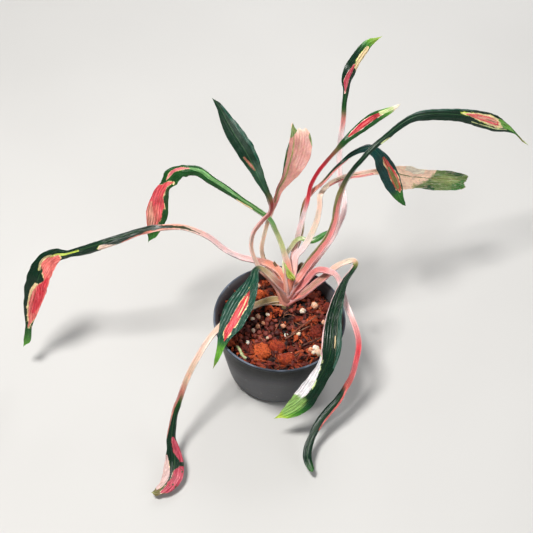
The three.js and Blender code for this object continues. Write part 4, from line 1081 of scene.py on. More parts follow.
class LeafForm:
    """A leaf's upper face and back, in millimetres, at places along it and shares across it."""

    def __init__(self, leaf, places, shares, number):
        rows, blade_start = leaf_rows(leaf)
        self.leaf, self.places, self.shares, self.number = leaf, places, shares, number
        self.last = len(rows) - 1
        self.row = rows_at(rows, places)
        steps = np.linalg.norm(np.diff(self.row[:, :3], axis=0), axis=1)
        self.length = np.concatenate([[0], np.cumsum(steps)])
        self.blade = smooth_step(blade_start - 1, blade_start + 1, places)
        self.round_off = np.sqrt(np.clip(1 - shares**2, 0, 1))
        self.set_directions(rows)
        self.set_widths()
        self.set_bend()
        front, back = self.thickness()
        wave = self.relief()
        reach = self.ragged_end()
        self.front = self.points(front, wave, reach)
        self.back = self.points(-back, wave, reach)

    def noise(self, seed, y, size):
        """An uneven number for each point, by its distance along the leaf and by y."""
        return waves(self.number + seed, self.length[:, None], y, size)

    def set_directions(self, rows):
        """At each place, the ways along the leaf, out of its upper face and across it."""
        small = 0.001
        ahead = rows_at(rows, np.minimum(self.places + small, self.last))[:, :3]
        behind = rows_at(rows, np.maximum(self.places - small, 0))[:, :3]
        along = ahead - behind
        along /= np.linalg.norm(along, axis=1)[:, None]
        face = self.row[:, 5:8] - along * (self.row[:, 5:8] * along).sum(1)[:, None]
        face /= np.linalg.norm(face, axis=1)[:, None]
        self.along, self.face = along, face
        self.side = np.cross(along, face)

    def set_widths(self):
        """Half the width, how much wider or narrower each side is, and where the leaf is crumpled."""
        places, leaf = self.places, self.leaf
        half = np.maximum(self.row[:, 3], LEAST_WIDTH) / 2
        if "tear" not in leaf:
            half = half * np.clip((self.last - places) / leaf.get("taper", TAPER), 0.03, 1) ** 0.8
        self.half = half
        outline = np.array(leaf.get("outline", [(0, 1, 1)]), float)
        low_side = np.interp(places, outline[:, 0], outline[:, 1])[:, None]
        high_side = np.interp(places, outline[:, 0], outline[:, 2])[:, None]
        low_half = self.shares < 0
        uneven = np.where(low_half, self.noise(0, 0, 17), self.noise(7, 0, 14))
        uneven = 1 + EDGE_UNEVEN * self.blade[:, None] * uneven
        uneven = uneven * np.where(low_half, low_side, high_side)
        self.crumple = np.zeros((len(places), 1))
        for place, spread, depth in leaf.get("crumples", ()):
            self.crumple[:, 0] += depth * np.exp(-(((places - place) / spread) ** 2))
        crumpled = self.crumple * self.noise(70, 10 * np.sign(self.shares), 10)
        self.uneven = uneven * (1 + CRUMPLE_UNEVEN * crumpled)

    def set_bend(self):
        """How the leaf curls across: its radius there, and each point's turn and distance."""
        least = 0.001
        bend = np.where(np.abs(self.row[:, 4]) < least, least, self.row[:, 4])
        self.radius = (self.half / bend)[:, None]
        self.turn = bend[:, None] * self.shares * self.uneven
        self.across = self.half[:, None] * self.shares * self.uneven

    def relief(self):
        """The edge's ripple, the long ridges, the side veins and the crumples."""
        half, across, blade = self.half[:, None], self.across, self.blade[:, None]
        distance = self.length[:, None]
        ripple = RIPPLE_SHARE * half * self.shares**2
        wave = blade * ripple * np.sin(RIPPLE_RATE * self.places[:, None] + RIPPLE_SLANT * self.shares)
        fine_edge = EDGE_SHARE * half * np.abs(self.shares) ** 3 * self.noise(0, 0.5 * across, 8)
        phase = across * RIDGE_RATE + 1.1 * np.sin(distance * 0.07 + self.number)
        phase = phase + 0.5 * self.noise(0, across, 30)
        ridges = RIDGE_HEIGHT * np.sin(phase) + SMALL_RIDGE_HEIGHT * np.sin(2.3 * phase + 1)
        ridges = self.leaf.get("ridges", 1) * ridges
        vein_phase = (distance - VEIN_SLANT * np.abs(across)) * WHOLE_TURN / VEIN_SPACING
        veins = -VEIN_DEPTH * np.exp(-((np.sin(vein_phase / 2) / VEIN_SPREAD) ** 2))
        lumps = LUMP_HEIGHT * self.noise(50, across, 12)
        raised = (ridges + veins + lumps) * self.round_off * np.minimum(1, half / 6)
        wave = wave + blade * (fine_edge + raised)
        return wave + self.crumple * (0.3 + self.shares**2) * self.noise(60, across, 8)

    def thickness(self):
        """How far the upper face and the back lie from the middle, for the solid stalk and thin blade."""
        half, blade, across = self.half[:, None], self.blade[:, None], self.across
        groove = GROOVE_DEPTH * np.exp(-((across / GROOVE_WIDTH) ** 2)) * np.minimum(1, half / 4)
        rib = RIB_DEPTH * np.exp(-((across / RIB_WIDTH) ** 2)) * np.minimum(1, half / 2)
        front_stalk = 0.3 * self.round_off
        front_blade = 0.05 + BLADE_THICKNESS * self.round_off - groove
        back_stalk = 0.12 + (np.minimum(half, STALK_DEPTH) - 0.12) * self.round_off
        back_blade = 0.08 + BLADE_THICKNESS * self.round_off + rib
        front = front_stalk + (front_blade - front_stalk) * blade
        return front, back_stalk + (back_blade - back_stalk) * blade

    def ragged_end(self):
        """How far a torn leaf's end reaches beyond its last row."""
        if "tear" not in self.leaf:
            return np.zeros_like(self.turn)
        tear = self.leaf["tear"]
        ragged = np.interp(self.shares, np.linspace(-1, 1, len(tear)), tear)
        ragged = ragged + TORN_UNEVEN * waves(self.number + 9, self.shares * 20, 0 * self.shares, 5)
        return smooth_step(self.last - 1.2, self.last, self.places)[:, None] * ragged

    def points(self, offset, wave, reach):
        """The points of one face, which lies an offset above the middle of the leaf."""
        sideways = (self.radius - offset) * np.sin(self.turn)
        up = self.radius * (1 - np.cos(self.turn)) + offset * np.cos(self.turn) + wave
        placed = self.row[:, None, :3] + self.side[:, None] * sideways[..., None]
        placed = placed + self.face[:, None] * up[..., None]
        return placed + self.along[:, None] * reach[..., None]


def patch_field(rows, places, shares, half, row_length):
    """How far inside a patch each point is, in millimetres. It is below zero outside."""
    edges = np.array(rows, float)
    edges[edges < -BEYOND_EDGE] = -OVER_EDGE
    edges[:, 2][edges[:, 2] > BEYOND_EDGE] = OVER_EDGE
    low = np.interp(places, edges[:, 0], edges[:, 1])
    high = np.interp(places, edges[:, 0], edges[:, 2])
    across = np.minimum(shares - low[:, None], high[:, None] - shares) * half[:, None]
    along = np.minimum(places - edges[0, 0], edges[-1, 0] - places) * row_length
    inside = (places > edges[0, 0]) & (places < edges[-1, 0])
    wide = (np.clip(high, -1, 1) - np.clip(low, -1, 1)) * half
    calm = np.clip(wide[inside].mean() / CALM_WIDTH, 0.3, 1)
    return np.minimum(across, along[:, None]) / calm


def leaf_tones(tones, places):
    """The linear colour at each place, between the tones' named colours."""
    known = np.array([COLOURS[name] for _, name in tones], float)
    marks = [place for place, _ in tones]
    return linear(np.stack([np.interp(places, marks, known[:, i]) for i in range(3)], axis=1))


def store_map(piece, across, length, blade, side, shares, tones):
    """Keeps what every leaf material reads: the place on the leaf, its side and its tone."""
    whole = np.ones(across.shape)
    place = np.stack([across, length * whole, blade * whole], axis=2)
    store(piece, "leaf_map", place, "FLOAT_VECTOR")
    store(piece, "side", side * whole)
    store(piece, "share", shares * whole)
    store(piece, "tone", np.concatenate([tones * whole[..., None], whole[..., None]], axis=2), "FLOAT_COLOR")


def leaf_piece(leaf, number, replaces=()):
    """A leaf with all that its material reads."""
    width = max(row[3] for row in leaf_rows(leaf)[0])
    steps = int(np.clip(width / ACROSS_SPACING, LEAST_STEPS, MOST_STEPS))
    crowded = -np.cos(np.linspace(0, math.pi, steps + 1))
    shares = (1 - EVEN_STEPS) * crowded + EVEN_STEPS * np.linspace(-1, 1, steps + 1)
    stalk_rows = len(leaf["stalk"]) + 1
    last = stalk_rows + len(leaf["blade"]) - 1
    stalk_places = np.arange(stalk_rows * STALK_STEPS) / STALK_STEPS
    blade_places = stalk_rows + np.arange((last - stalk_rows) * BLADE_STEPS + 1) / BLADE_STEPS
    places = np.concatenate([stalk_places, blade_places])
    form = LeafForm(leaf, places, shares, number)

    rings = np.concatenate([form.front, form.back[:, ::-1]], axis=1)
    faces = sheet_faces(*rings.shape[:2])
    material = leaf_material(leaf["name"], leaf)
    piece = new_piece(leaf["name"] + "_fine", rings.reshape(-1, 3), faces, material, replaces, leaf["slot"])

    ring_shares = np.concatenate([shares, shares[::-1]])
    side = np.repeat([0.0, 1.0], len(shares))
    across = form.half[:, None] * ring_shares
    tones = leaf_tones(leaf["tones"], places)[:, None, :]
    store_map(piece, across, form.length[:, None], form.blade[:, None], side, ring_shares, tones)
    row_length = form.length[-1] / last
    for i, (*_, rows) in enumerate(leaf["patches"]):
        store(piece, f"patch_{i}", patch_field(rows, places, ring_shares, form.half, row_length))
    if "spots" in leaf:
        low, high = leaf["spots"]
        spotted = smooth_step(low, low + SPOT_FADE, places) * smooth_step(high, high - SPOT_FADE, places)
        store(piece, "spotted", spotted[:, None] * np.ones(across.shape))
    return piece


class LeafSkin(Skin):
    """A leaf's material. Its noises are stretched along the leaf."""

    def __init__(self, name, leaf):
        super().__init__(name + "_skin")
        self.leaf = leaf
        self.leaf_map = self.attribute("leaf_map", "Vector")
        self.across, self.along, self.blade = self.parts(self.leaf_map)
        self.stalk = self.minus(1.0, self.blade)
        self.side = self.attribute("side")
        self.edge = self.positive(self.attribute("share"))
        self.streak = self.grain(1.3, 0.06, 1.0, 4.0, 0.65)
        self.blotch = self.grain(1, 0.5, 0.22, 3.0, 0.6)
        self.speckle = self.grain(1, 0.6, 1.8, 3.0, 0.7)

    def grain(self, x, y, scale, detail, roughness):
        return self.cloud(self.stretched(self.leaf_map, x, y, 0), scale, detail, roughness)

    def patched(self, colour):
        """Colour patches with uneven edges, some with a rim of uneven width."""
        broad = self.grain(1, 0.4, 0.28, 3.0, 0.6)
        fine = self.grain(1, 0.35, 1.5, 4.0, 0.7)
        uneven = self.plus(self.offset(broad, 4.2), self.offset(fine, 2.2))
        for i, (fill, soft, *rim, _) in enumerate(self.leaf["patches"]):
            field = self.plus(self.attribute(f"patch_{i}"), uneven)
            if rim:
                rim_colour, width = rim
                spread = self.plus(field, self.offset(self.blotch, 14 * width, 0.52))
                spread = self.plus(spread, self.offset(fine, 3))
                rim_colour = self.mixed(self.between(self.blotch, 0.42, 0.58), "leaf_light", rim_colour)
                colour = self.mixed(self.between(spread, -width - soft, -width + soft), colour, rim_colour)
            middle = linear(fill)
            darker = (0.88, 0.78, 0.8) if middle.min() > 0.3 else (0.76, 0.58, 0.62)
            stops = ((0.34, middle * darker), (0.5, middle), (0.68, middle * 0.82 + 0.14))
            inner = self.ramp(self.streak, *[(place, (*shade, 1)) for place, shade in stops])
            colour = self.mixed(self.between(field, -soft, soft), colour, inner)
        return colour

    def flecked(self, colour):
        """Fine flecks on a mottled leaf, and dark spots on one side of a spotted leaf."""
        if "mottle" in self.leaf:
            fleck = self.grain(1, 0.3, 0.6, 5.0, 0.65)
            amount = self.times(self.between(fleck, 0.5, 0.66), self.between(self.blade, 0.3, 1, 0, 0.34))
            colour = self.mixed(amount, colour, self.leaf["mottle"])
        if "spots" in self.leaf:
            spot = self.cells(self.stretched(self.leaf_map, 1, 1, 0), 0.32)
            low_side = self.between(self.attribute("share"), 0.15, -0.05)
            amount = self.times(self.between(spot, 0.34, 0.2), self.attribute("spotted"), low_side)
            colour = self.mixed(amount, colour, "olive_dark")
        return colour

    def stalked(self, colour):
        """A stalk's hollow gets painted shade, its margins a painted highlight, and it is flushed with pink
        in places.
        """
        front = self.minus(1.0, self.side)
        # Painted shade darkens the hollow of the stalk's channel
        hollow = self.times(self.between(self.edge, 0.9, 0.45), self.stalk, front)
        hollow = self.times(hollow, self.spread(self.blotch, 0.2, 0.7))
        colour = self.mixed(hollow, colour, self.dyed(colour, (240, 222, 216)))
        flush = self.times(self.stalk, self.between(self.blotch, 0.5, 0.68, 0, 0.4))
        colour = self.mixed(flush, colour, self.dyed(colour, (255, 212, 218)))
        # A painted highlight along the stalk's margins
        margin_highlight = self.times(self.between(self.edge, 0.72, 0.92, 0, 0.24), self.stalk)
        return self.mixed(margin_highlight, colour, "white_pink")

    def tinted(self, colour):
        """Long streaks, small speckles, broad blotches and pale side veins."""
        contrast = self.leaf.get("streaks", 1)
        tint = self.spread(self.streak, 1 - 0.34 * contrast, 1 + 0.3 * contrast, soft=False)
        tint = self.times(tint, self.spread(self.speckle, 0.86, 1.14, soft=False))
        tint = self.times(tint, self.spread(self.blotch, 0.8, 1.2, soft=False))
        slanted = self.minus(self.along, self.times(self.positive(self.across), VEIN_SLANT))
        swing = self.maths("SINE", self.times(slanted, WHOLE_TURN / VEIN_SPACING))
        tint = self.plus(tint, self.times(self.between(swing, 0.55, 1, 0, 0.1), self.blade))
        grey = self.node("CombineColor", None, n0=tint, n1=tint, n2=tint).outputs[0]
        return self.dyed(colour, grey)

    def ribbed(self, colour):
        """The midrib is paler, and so is the back of the blade."""
        rib = self.times(self.between(self.positive(self.across), 0.6, 0.2), self.blade, 0.12)
        colour = self.mixed(rib, colour, "leaf_light")
        pale_back = self.times(self.side, self.blade, self.leaf.get("pale_back", 0.25))
        return self.mixed(pale_back, colour, "grey_green")


def leaf_material(name, leaf):
    skin = LeafSkin(name, leaf)
    colour = skin.attribute("tone", "Color")
    for layer in (skin.patched, skin.flecked, skin.stalked, skin.tinted, skin.ribbed):
        colour = layer(colour)
    roughness = skin.plus(skin.spread(skin.speckle, 0.2, 0.36, soft=False), skin.times(skin.side, 0.12))
    roughness = skin.plus(roughness, leaf.get("dull", 0))
    bumps = skin.plus(skin.times(skin.cloud(skin.leaf_map, 2.6, 2.0, 0.5), 0.5), skin.streak)
    return skin.finish(
        colour, roughness, bumps, 0.6, 0.0004, Subsurface_Weight=0.08, Subsurface_Scale=0.002,
        Subsurface_Radius=(1.0, 0.5, 0.3), Specular_IOR_Level=0.22, Coat_Weight=leaf.get("coat", 0.16),
        Coat_Roughness=0.24,
    )


# The pot
def pot_radius(height):
    """The outer wall's radius at a height."""
    share = height / POT_HEIGHT
    low = FOOT_RADIUS + FOOT_BULGE
    return low + (RIM_RADIUS - LIP_OVERHANG - low) * share**WALL_CURVE


def pot_piece():
    heights = np.linspace(WALL_START, POT_HEIGHT - LIP_HEIGHT, WALL_RINGS)
    outside = [(pot_radius(height), height) for height in heights]
    inside = [(pot_radius(height) - WALL, height) for height in reversed(heights)]
    profile = FOOT_PROFILE + outside + LIP_PROFILE + inside + INNER_PROFILE
    points, faces = turned(profile, POT_SEGMENTS)
    angle = np.arctan2(points[:, 1], points[:, 0])
    uneven = 1
    for share, rounds, start, rise in POT_WAVES:
        uneven = uneven + share * np.sin(rounds * angle + start + rise * points[:, 2])
    on_wall = np.hypot(points[:, 0], points[:, 1]) > FOOT_RADIUS + 1
    points[:, :2] *= np.where(on_wall, uneven, 1)[:, None]
    piece = new_piece("pot_shell", points, faces, pot_material(), ["pot"], "pot_plastic")
    drill_holes(piece)


def drill_holes(piece):
    """Cuts the drain holes in the pot's floor."""
    drill_mesh = bpy.data.meshes.new("drill")
    drill = added("drill", drill_mesh)
    shape = bmesh.new()
    for i in range(DRAIN_COUNT):
        angle = i * 2 * math.pi / DRAIN_COUNT
        place = Vector((DRAIN_CIRCLE * math.cos(angle), DRAIN_CIRCLE * math.sin(angle), FLOOR / 2)) * MM
        bmesh.ops.create_cone(
            shape, cap_ends=True, segments=DRAIN_SEGMENTS, radius1=DRAIN_RADIUS * MM,
            radius2=DRAIN_RADIUS * MM, depth=4 * FLOOR * MM, matrix=Matrix.Translation(place),
        )
    shape.to_mesh(drill_mesh)
    shape.free()
    cut = piece.modifiers.new("holes", "BOOLEAN")
    cut.operation = "DIFFERENCE"
    cut.object = drill
    scene_graph = bpy.context.evaluated_depsgraph_get()
    piece.data = bpy.data.meshes.new_from_object(piece.evaluated_get(scene_graph))
    piece.modifiers.clear()
    bpy.data.objects.remove(drill)
    bpy.data.meshes.remove(drill_mesh)


def pot_material():
    """Dark plastic with scuffs, a lip with a painted bluish sheen and a patchy painted highlight, and a
    dusty inside that is painted paler as painted light.
    """
    skin = Skin("pot_plastic_fine")
    place = skin.position()
    x, y, height = skin.parts(place)
    broad = skin.cloud(place, 32, 4.0)
    scuffs = skin.cloud(skin.stretched(place, 1, 1, 9), 95, 5.0, 0.7)
    dust = skin.cloud(place, 260, 5.0, 0.7)
    colour = skin.shades(broad, (0.3, (8, 8, 9)), (0.55, (14, 15, 16)), (0.75, (24, 24, 25)))
    colour = skin.mixed(skin.between(scuffs, 0.52, 0.75, 0, 0.3), colour, (64, 65, 68))
    # A painted bluish sheen on the lip's outer face
    lip_sheen = skin.times(skin.between(height, *LIP_SHEEN_BAND), 0.4)
    colour = skin.mixed(lip_sheen, colour, (52, 58, 68))
    # A patchy painted highlight along the rim's top edge
    rim_highlight = skin.times(skin.between(height, *RIM_HIGHLIGHT_BAND), skin.between(broad, 0.4, 0.6, 0.2, 0.8))
    colour = skin.mixed(rim_highlight, colour, (112, 122, 138))

    # The inside of the wall above the mix is painted paler, a painted light that stands in for reflected
    # light, with brown dust
    outward = skin.maths("SQRT", skin.plus(skin.times(x, x), skin.times(y, y)))
    inside = skin.between(skin.minus(outward, skin.times(height, WALL_SLOPE)), *INSIDE_BAND)
    colour = skin.mixed(skin.times(inside, 0.8), colour, (96, 97, 101))
    dusty = skin.times(inside, skin.between(dust, 0.54, 0.7, 0, 0.5))
    colour = skin.mixed(dusty, colour, (96, 78, 66))

    # Small pale specks of splashed mix
    speck = skin.between(skin.cells(place, 110.0), 0.11, 0.06)
    colour = skin.mixed(skin.times(speck, skin.between(dust, 0.46, 0.52)), colour, (150, 146, 142))
    roughness = skin.between(scuffs, 0.3, 0.75, 0.36, 0.58, soft=False)
    bumps = skin.plus(scuffs, skin.times(dust, 0.4))
    return skin.finish(colour, roughness, bumps, 0.35, 0.0004, Specular_IOR_Level=0.16)


# The mix: one bed and many loose pieces, gathered by kind
def soil_height(x, y):
    """How high the mix stands: a low dome with lumps."""
    dome = SOIL_DOME * (1 - (x * x + y * y) / RIM_RADIUS**2)
    lumps = 0.9 * np.sin(0.23 * x + 1) * np.cos(0.19 * y) + 0.6 * np.sin(0.4 * x + 0.37 * y)
    return SOIL_LEVEL + dome + lumps


def soil_bed():
    """The body of the mix, under the loose pieces. It is bare and hollow in front of the stem."""
    wall = [(pot_radius(height) - WALL - 0.4, height) for height in BED_HEIGHTS]
    top = [(SOIL_REACH * share, SOIL_LEVEL) for share in np.linspace(0.995, 0, BED_RINGS)]
    points, faces = turned(BED_PROFILE + wall + top, BED_SEGMENTS)
    x, y = points[:, 0], points[:, 1]
    crumbs = 1.0 * waves(3, x, y, 7, 9) + 0.9 * waves(4, x, y, 3.4, 9)
    hole = BED_HOLLOW
    hollow = ((x - hole["x"]) / hole["long"]) ** 2 + ((y - hole["y"]) / hole["wide"]) ** 2
    inner = smooth_step(SOIL_REACH, SOIL_REACH - 4, np.hypot(x, y))
    level = soil_height(x, y) + (crumbs - 0.6) * inner - hole["depth"] * np.exp(-hollow) - 1.2 * (1 - inner)
    points[:, 2] = np.where(points[:, 2] > SOIL_LEVEL - 0.5, level, points[:, 2])
    new_piece("mix_bed", points, faces, bed_material(), ["soil"], "bark_mix")


def mesh_lists(shape):
    """A bmesh's points and faces as lists. It is freed."""
    shape.verts.index_update()
    points = np.array([vert.co[:] for vert in shape.verts])
    faces = [tuple(vert.index for vert in face.verts) for face in shape.faces]
    shape.free()
    return points, faces


def ball(level):
    """A ball with a radius of one."""
    shape = bmesh.new()
    bmesh.ops.create_icosphere(shape, subdivisions=level, radius=1)
    return mesh_lists(shape)


def hull(draw, corners, level):
    """An angular lump: the hull of random points in a box, with its faces divided."""
    shape = bmesh.new()
    for _ in range(corners):
        shape.verts.new([draw.uniform(-1, 1) for _ in range(3)])
    found = bmesh.ops.convex_hull(shape, input=shape.verts)
    unused = [item for item in found["geom_interior"] if isinstance(item, bmesh.types.BMVert)]
    bmesh.ops.delete(shape, geom=unused, context="VERTS")
    bmesh.ops.triangulate(shape, faces=shape.faces)
    for _ in range(level):
        bmesh.ops.subdivide_edges(shape, edges=shape.edges, cuts=1, use_grid_fill=True)
    return mesh_lists(shape)


def roughened(points, *layers):
    """Moves points in and out by uneven surfaces. A layer is its seed, its size and its depth."""
    for seed, size, depth in layers:
        amount = waves(seed, points[:, 0] + 0.7 * points[:, 2], points[:, 1] - 0.6 * points[:, 2], size, 9)
        points = points * (1 + depth * amount)[:, None]
    return points


class Heap:
    """Loose pieces of the mix that become one mesh, each with its own tint."""

    def __init__(self):
        self.points = []
        self.faces = []
        self.tints = []
        self.count = 0

    def add(self, points, faces, tint):
        self.points.append(points)
        self.faces += [tuple(self.count + i for i in face) for face in faces]
        self.tints.append(np.full(len(points), tint))
        self.count += len(points)

    def lay(self, points, faces, place, size, turns, tint):
        """Adds points scaled by size, turned by three angles and moved to a place."""
        tilt_x, tilt_y, turn = turns
        way = Matrix.Rotation(turn, 3, "Z") @ Matrix.Rotation(tilt_y, 3, "Y")
        way = np.array(way @ Matrix.Rotation(tilt_x, 3, "X"))
        self.add(points * np.array(size) @ way.T + np.array(place), faces, tint)

    def piece(self, name, material, smooth=True):
        points, tints = np.concatenate(self.points), np.concatenate(self.tints)
        made = new_piece(name, points, self.faces, loose_material(material), ["soil"], "bark_mix", smooth)
        store(made, "tint", tints)


class Mix:
    """Fills the pot with loose pieces that keep clear of the leaves, the stem and the wall."""

    def __init__(self, leaf_points):
        self.draw = random.Random(MIX_SEED)
        self.leaf_points = leaf_points
        self.stem_at = stem_place(0.45)
        self.taken = []
        self.bark, self.rocks, self.pellets, self.perlite, self.fibres = (Heap() for _ in range(5))

    def place(self, x, y, lift):
        return np.array([x, y, soil_height(x, y) + lift])

    def fits(self, place, reach):
        inside = math.hypot(place[0], place[1]) + reach < SOIL_REACH
        clear = math.hypot(place[0] - self.stem_at[0], place[1] - self.stem_at[1]) > STEM_ROOM
        return inside and clear and np.min(np.linalg.norm(self.leaf_points - place, axis=1)) > reach

    def add_chunks(self):
        draw = self.draw
        for i, (kind, x, y, long, wide, high, turn) in enumerate(LARGE_CHUNKS):
            turns = (draw.uniform(-0.15, 0.15), draw.uniform(-0.12, 0.12), math.radians(turn))
            if kind == "rock":
                points, faces = ball(5)
                points = np.sign(points) * np.abs(points) ** 0.8
                points = roughened(points, (i, 1.4, 0.32), (i + 30, 0.5, 0.26), (i + 60, 0.2, 0.12))
                size = (long * 0.5, wide * 0.5, high * 0.68)
                self.rocks.lay(points, faces, self.place(x, y, 0.8), size, turns, draw.random())
            else:
                points, faces = hull(draw, 26, 3)
                points = roughened(points, (i, 0.8, 0.08))
                size = (long * 0.55, wide * 0.56, high * 0.5)
                self.bark.lay(points, faces, self.place(x, y, 0.6), size, turns, draw.random())

    def add_pellets(self):
        """Clay pellets, mostly to the front left of the stem."""
        draw = self.draw
        ball_points, faces = ball(3)
        for _ in range(PELLET_TRIES):
            dense = draw.random() < PELLET_SHARE
            x = draw.uniform(-40, -2) if dense else draw.uniform(-52, 52)
            y = draw.uniform(-26, 8) if dense else draw.uniform(-50, 40)
            radius = draw.uniform(1.7, 3.2)
            place = self.place(x, y, draw.uniform(0.6, 2.4))
            apart = all(np.linalg.norm(place - other) > 0.85 * (radius + size) for other, size in self.taken)
            if apart and self.fits(place, radius):
                self.taken.append((place, radius))
                points = roughened(ball_points, (draw.randrange(1000), 1.6, 0.07))
                size = (radius, radius, radius * 0.94)
                self.pellets.lay(points, faces, place, size, (0, 0, 0), draw.random())

    def add_perlite(self):
        """Perlite, at the places that the photograph shows. A large grain is a pair."""
        draw = self.draw
        ball_points, faces = ball(3)
        for x, y, radius in PERLITE:
            for _ in range(1 + (radius > 2)):
                moved = (x + draw.uniform(-1.5, 1.5), y + draw.uniform(-1.5, 1.5))
                place = self.place(*moved, 2.6 + 0.6 * radius)
                grain = 1.6 * radius * draw.uniform(0.75, 1.1)
                self.taken.append((place, grain))
                if self.fits(place, grain):
                    points = roughened(ball_points, (draw.randrange(1000), 1.3, 0.3), (5, 0.5, 0.06))
                    turns = [draw.uniform(0, 3) for _ in range(3)]
                    size = (grain, grain * 0.85, grain * 0.75)
                    self.perlite.lay(points, faces, place, size, turns, draw.random())

    def add_chips(self):
        """Bark chips and shreds of many sizes, fewer on the pellets and perlite and none in the hollow."""
        draw = self.draw
        for i in range(CHIP_TRIES):
            reach = CHIP_REACH * math.sqrt(draw.random())
            angle = draw.uniform(0, WHOLE_TURN)
            long = draw.choice(CHIP_LENGTHS)
            wide = min(long, 7) * draw.uniform(0.25, 0.75)
            high = min(wide, draw.uniform(1, 2.6))
            place = self.place(reach * math.cos(angle), reach * math.sin(angle), draw.uniform(0, 2.2))
            from_hollow = (place[:2] - (BED_HOLLOW["x"], BED_HOLLOW["y"])) / (BARE_LONG, BARE_WIDE)
            free = self.fits(place, 0.5 * long) and math.hypot(*from_hollow) >= 1
            covers = min(np.hypot(*(place - other)[:2]) - size for other, size in self.taken) < 0.3 * long
            if free and not (covers and draw.random() < 0.6):
                points, faces = hull(draw, 14, 1)
                points = roughened(points, (i, 0.9, 0.08))
                turns = (draw.uniform(-0.7, 0.7), draw.uniform(-0.6, 0.6), draw.uniform(0, math.pi))
                size = (long * 0.6, wide * 0.6, high * 0.6)
                self.bark.lay(points, faces, place, size, turns, draw.random())

    def add_fibres(self):
        """Curled coco fibres."""
        draw = self.draw
        for _ in range(FIBRE_TRIES):
            reach = FIBRE_REACH * math.sqrt(draw.random())
            angle = draw.uniform(0, WHOLE_TURN)
            way = draw.uniform(0, WHOLE_TURN)
            curl = draw.uniform(-0.25, 0.25)
            x, y = reach * math.cos(angle), reach * math.sin(angle)
            step = draw.uniform(1, 2.4)
            lift = draw.uniform(1.2, 3)
            path = []
            for k in range(FIBRE_POINTS):
                path.append(self.place(x, y, lift) + (0, 0, 0.6 * math.sin(k)))
                x += step * math.cos(way)
                y += step * math.sin(way)
                way += curl
            if self.fits(path[FIBRE_POINTS // 2], 3.5 * step):
                thin = draw.uniform(0.14, 0.34)
                radii = [thin * 0.5] + [thin] * (FIBRE_POINTS - 2) + [thin * 0.4]
                self.fibres.add(*tube(path, radii, 5), draw.random())

    def fill(self):
        self.add_chunks()
        self.add_pellets()
        self.add_perlite()
        self.add_chips()
        self.add_fibres()
        self.bark.piece("mix_bark", "bark_chips", smooth=False)
        self.rocks.piece("mix_rocks", "porous_rock")
        self.pellets.piece("mix_clay_pellets", "clay_pellets")
        self.perlite.piece("mix_perlite", "perlite")
        self.fibres.piece("mix_fibres", "coco_fibre")


def twig_piece(name, start, end, radius, sag, colours):
    """A stick that lies on the mix, with a knot."""
    start, end = np.array(start, float), np.array(end, float)
    path = []
    radii = []
    for i in range(TWIG_RINGS):
        share = i / (TWIG_RINGS - 1)
        place = start + (end - start) * share
        place[2] += sag * math.sin(math.pi * share)
        place[:2] += 0.5 * math.sin(7 * share)
        path.append(place)
        knot = 0.25 * math.exp(-(((share - 0.62) / 0.03) ** 2))
        narrow = 0.75 if i in (0, TWIG_RINGS - 1) else 1
        radii.append(radius * (1 + knot + 0.08 * math.sin(23 * share)) * narrow)
    new_piece(name, *tube(path, radii, 14), twig_material(name, colours), ["soil"], "bark_mix")


def bed_material():
    skin = Skin("mix_bed_earth")
    place = skin.position()
    blotch = skin.cloud(place, 300, 6.0, 0.7)
    fine = skin.cloud(place, 1400, 4.0, 0.7)
    colour = skin.shades(blotch, (0.35, (9, 3, 3)), (0.6, (34, 11, 8)), (0.8, (78, 28, 17)))
    bumps = skin.plus(blotch, skin.times(fine, 0.5))
    return skin.finish(colour, skin.spread(fine, 0.55, 0.85), bumps, 0.9, 0.0015)


def loose_material(name):
    """The material of one kind of loose piece: its own tint, uneven blotches and finer layers."""
    look = LOOSE_LOOKS[name]
    skin = Skin(name)
    place = skin.position()
    blotch = skin.cloud(place, look["scale"], 5.0, 0.65)
    value = skin.plus(skin.times(skin.attribute("tint"), 0.55), skin.times(blotch, 0.55))
    colour = skin.shades(value, *zip((0.25, 0.55, 0.85), look["colours"]))
    bumps = blotch
    if "fine" in look:
        scale, detail = look["fine"]
        fine = skin.cloud(skin.stretched(place, 1, look.get("along", 1), 1), scale, detail, 0.7)
        bumps = skin.plus(fine, blotch) if look.get("blotched_relief") else fine
    if "pits" in look:
        pits = look["pits"]
        pit = skin.between(skin.cells(place, pits["scale"]), *pits["band"])
        pit = skin.times(pit, skin.between(fine, *pits["rough_band"]))
        colour = skin.mixed(skin.times(pit, pits["most"]), colour, pits["colour"])
        bumps = skin.minus(fine, pit)
    for low, high, most, layer_colour in look["layers"]:
        colour = skin.mixed(skin.between(fine, low, high, 0, most), colour, layer_colour)
    roughness = skin.spread(blotch, *look["roughness"])
    return skin.finish(colour, roughness, bumps, *look["relief"], **look.get("settings", {}))


def twig_material(name, colours):
    skin = Skin(name + "_bark")
    streaks = skin.cloud(skin.stretched(skin.position(), 0.5, 0.5, 1), 700, 5.0, 0.7)
    colour = skin.shades(streaks, *zip((0.3, 0.52, 0.72), colours))
    return skin.finish(colour, skin.spread(streaks, 0.4, 0.65), streaks, 0.6, 0.0006)


# The stem, and the flat stalk bases that clasp it
def along_stem(points):
    """Moves points from an upright axis to the leaning stem."""
    way = Vector((0, 0, 1)).rotation_difference(Vector(unit(STEM_TOP - STEM_FOOT))).to_matrix()
    return points @ np.array(way).T + STEM_FOOT


def stem_radius(length):
    known = np.array(STEM_RADII, float)
    return np.interp(length, known[:, 1], known[:, 0])


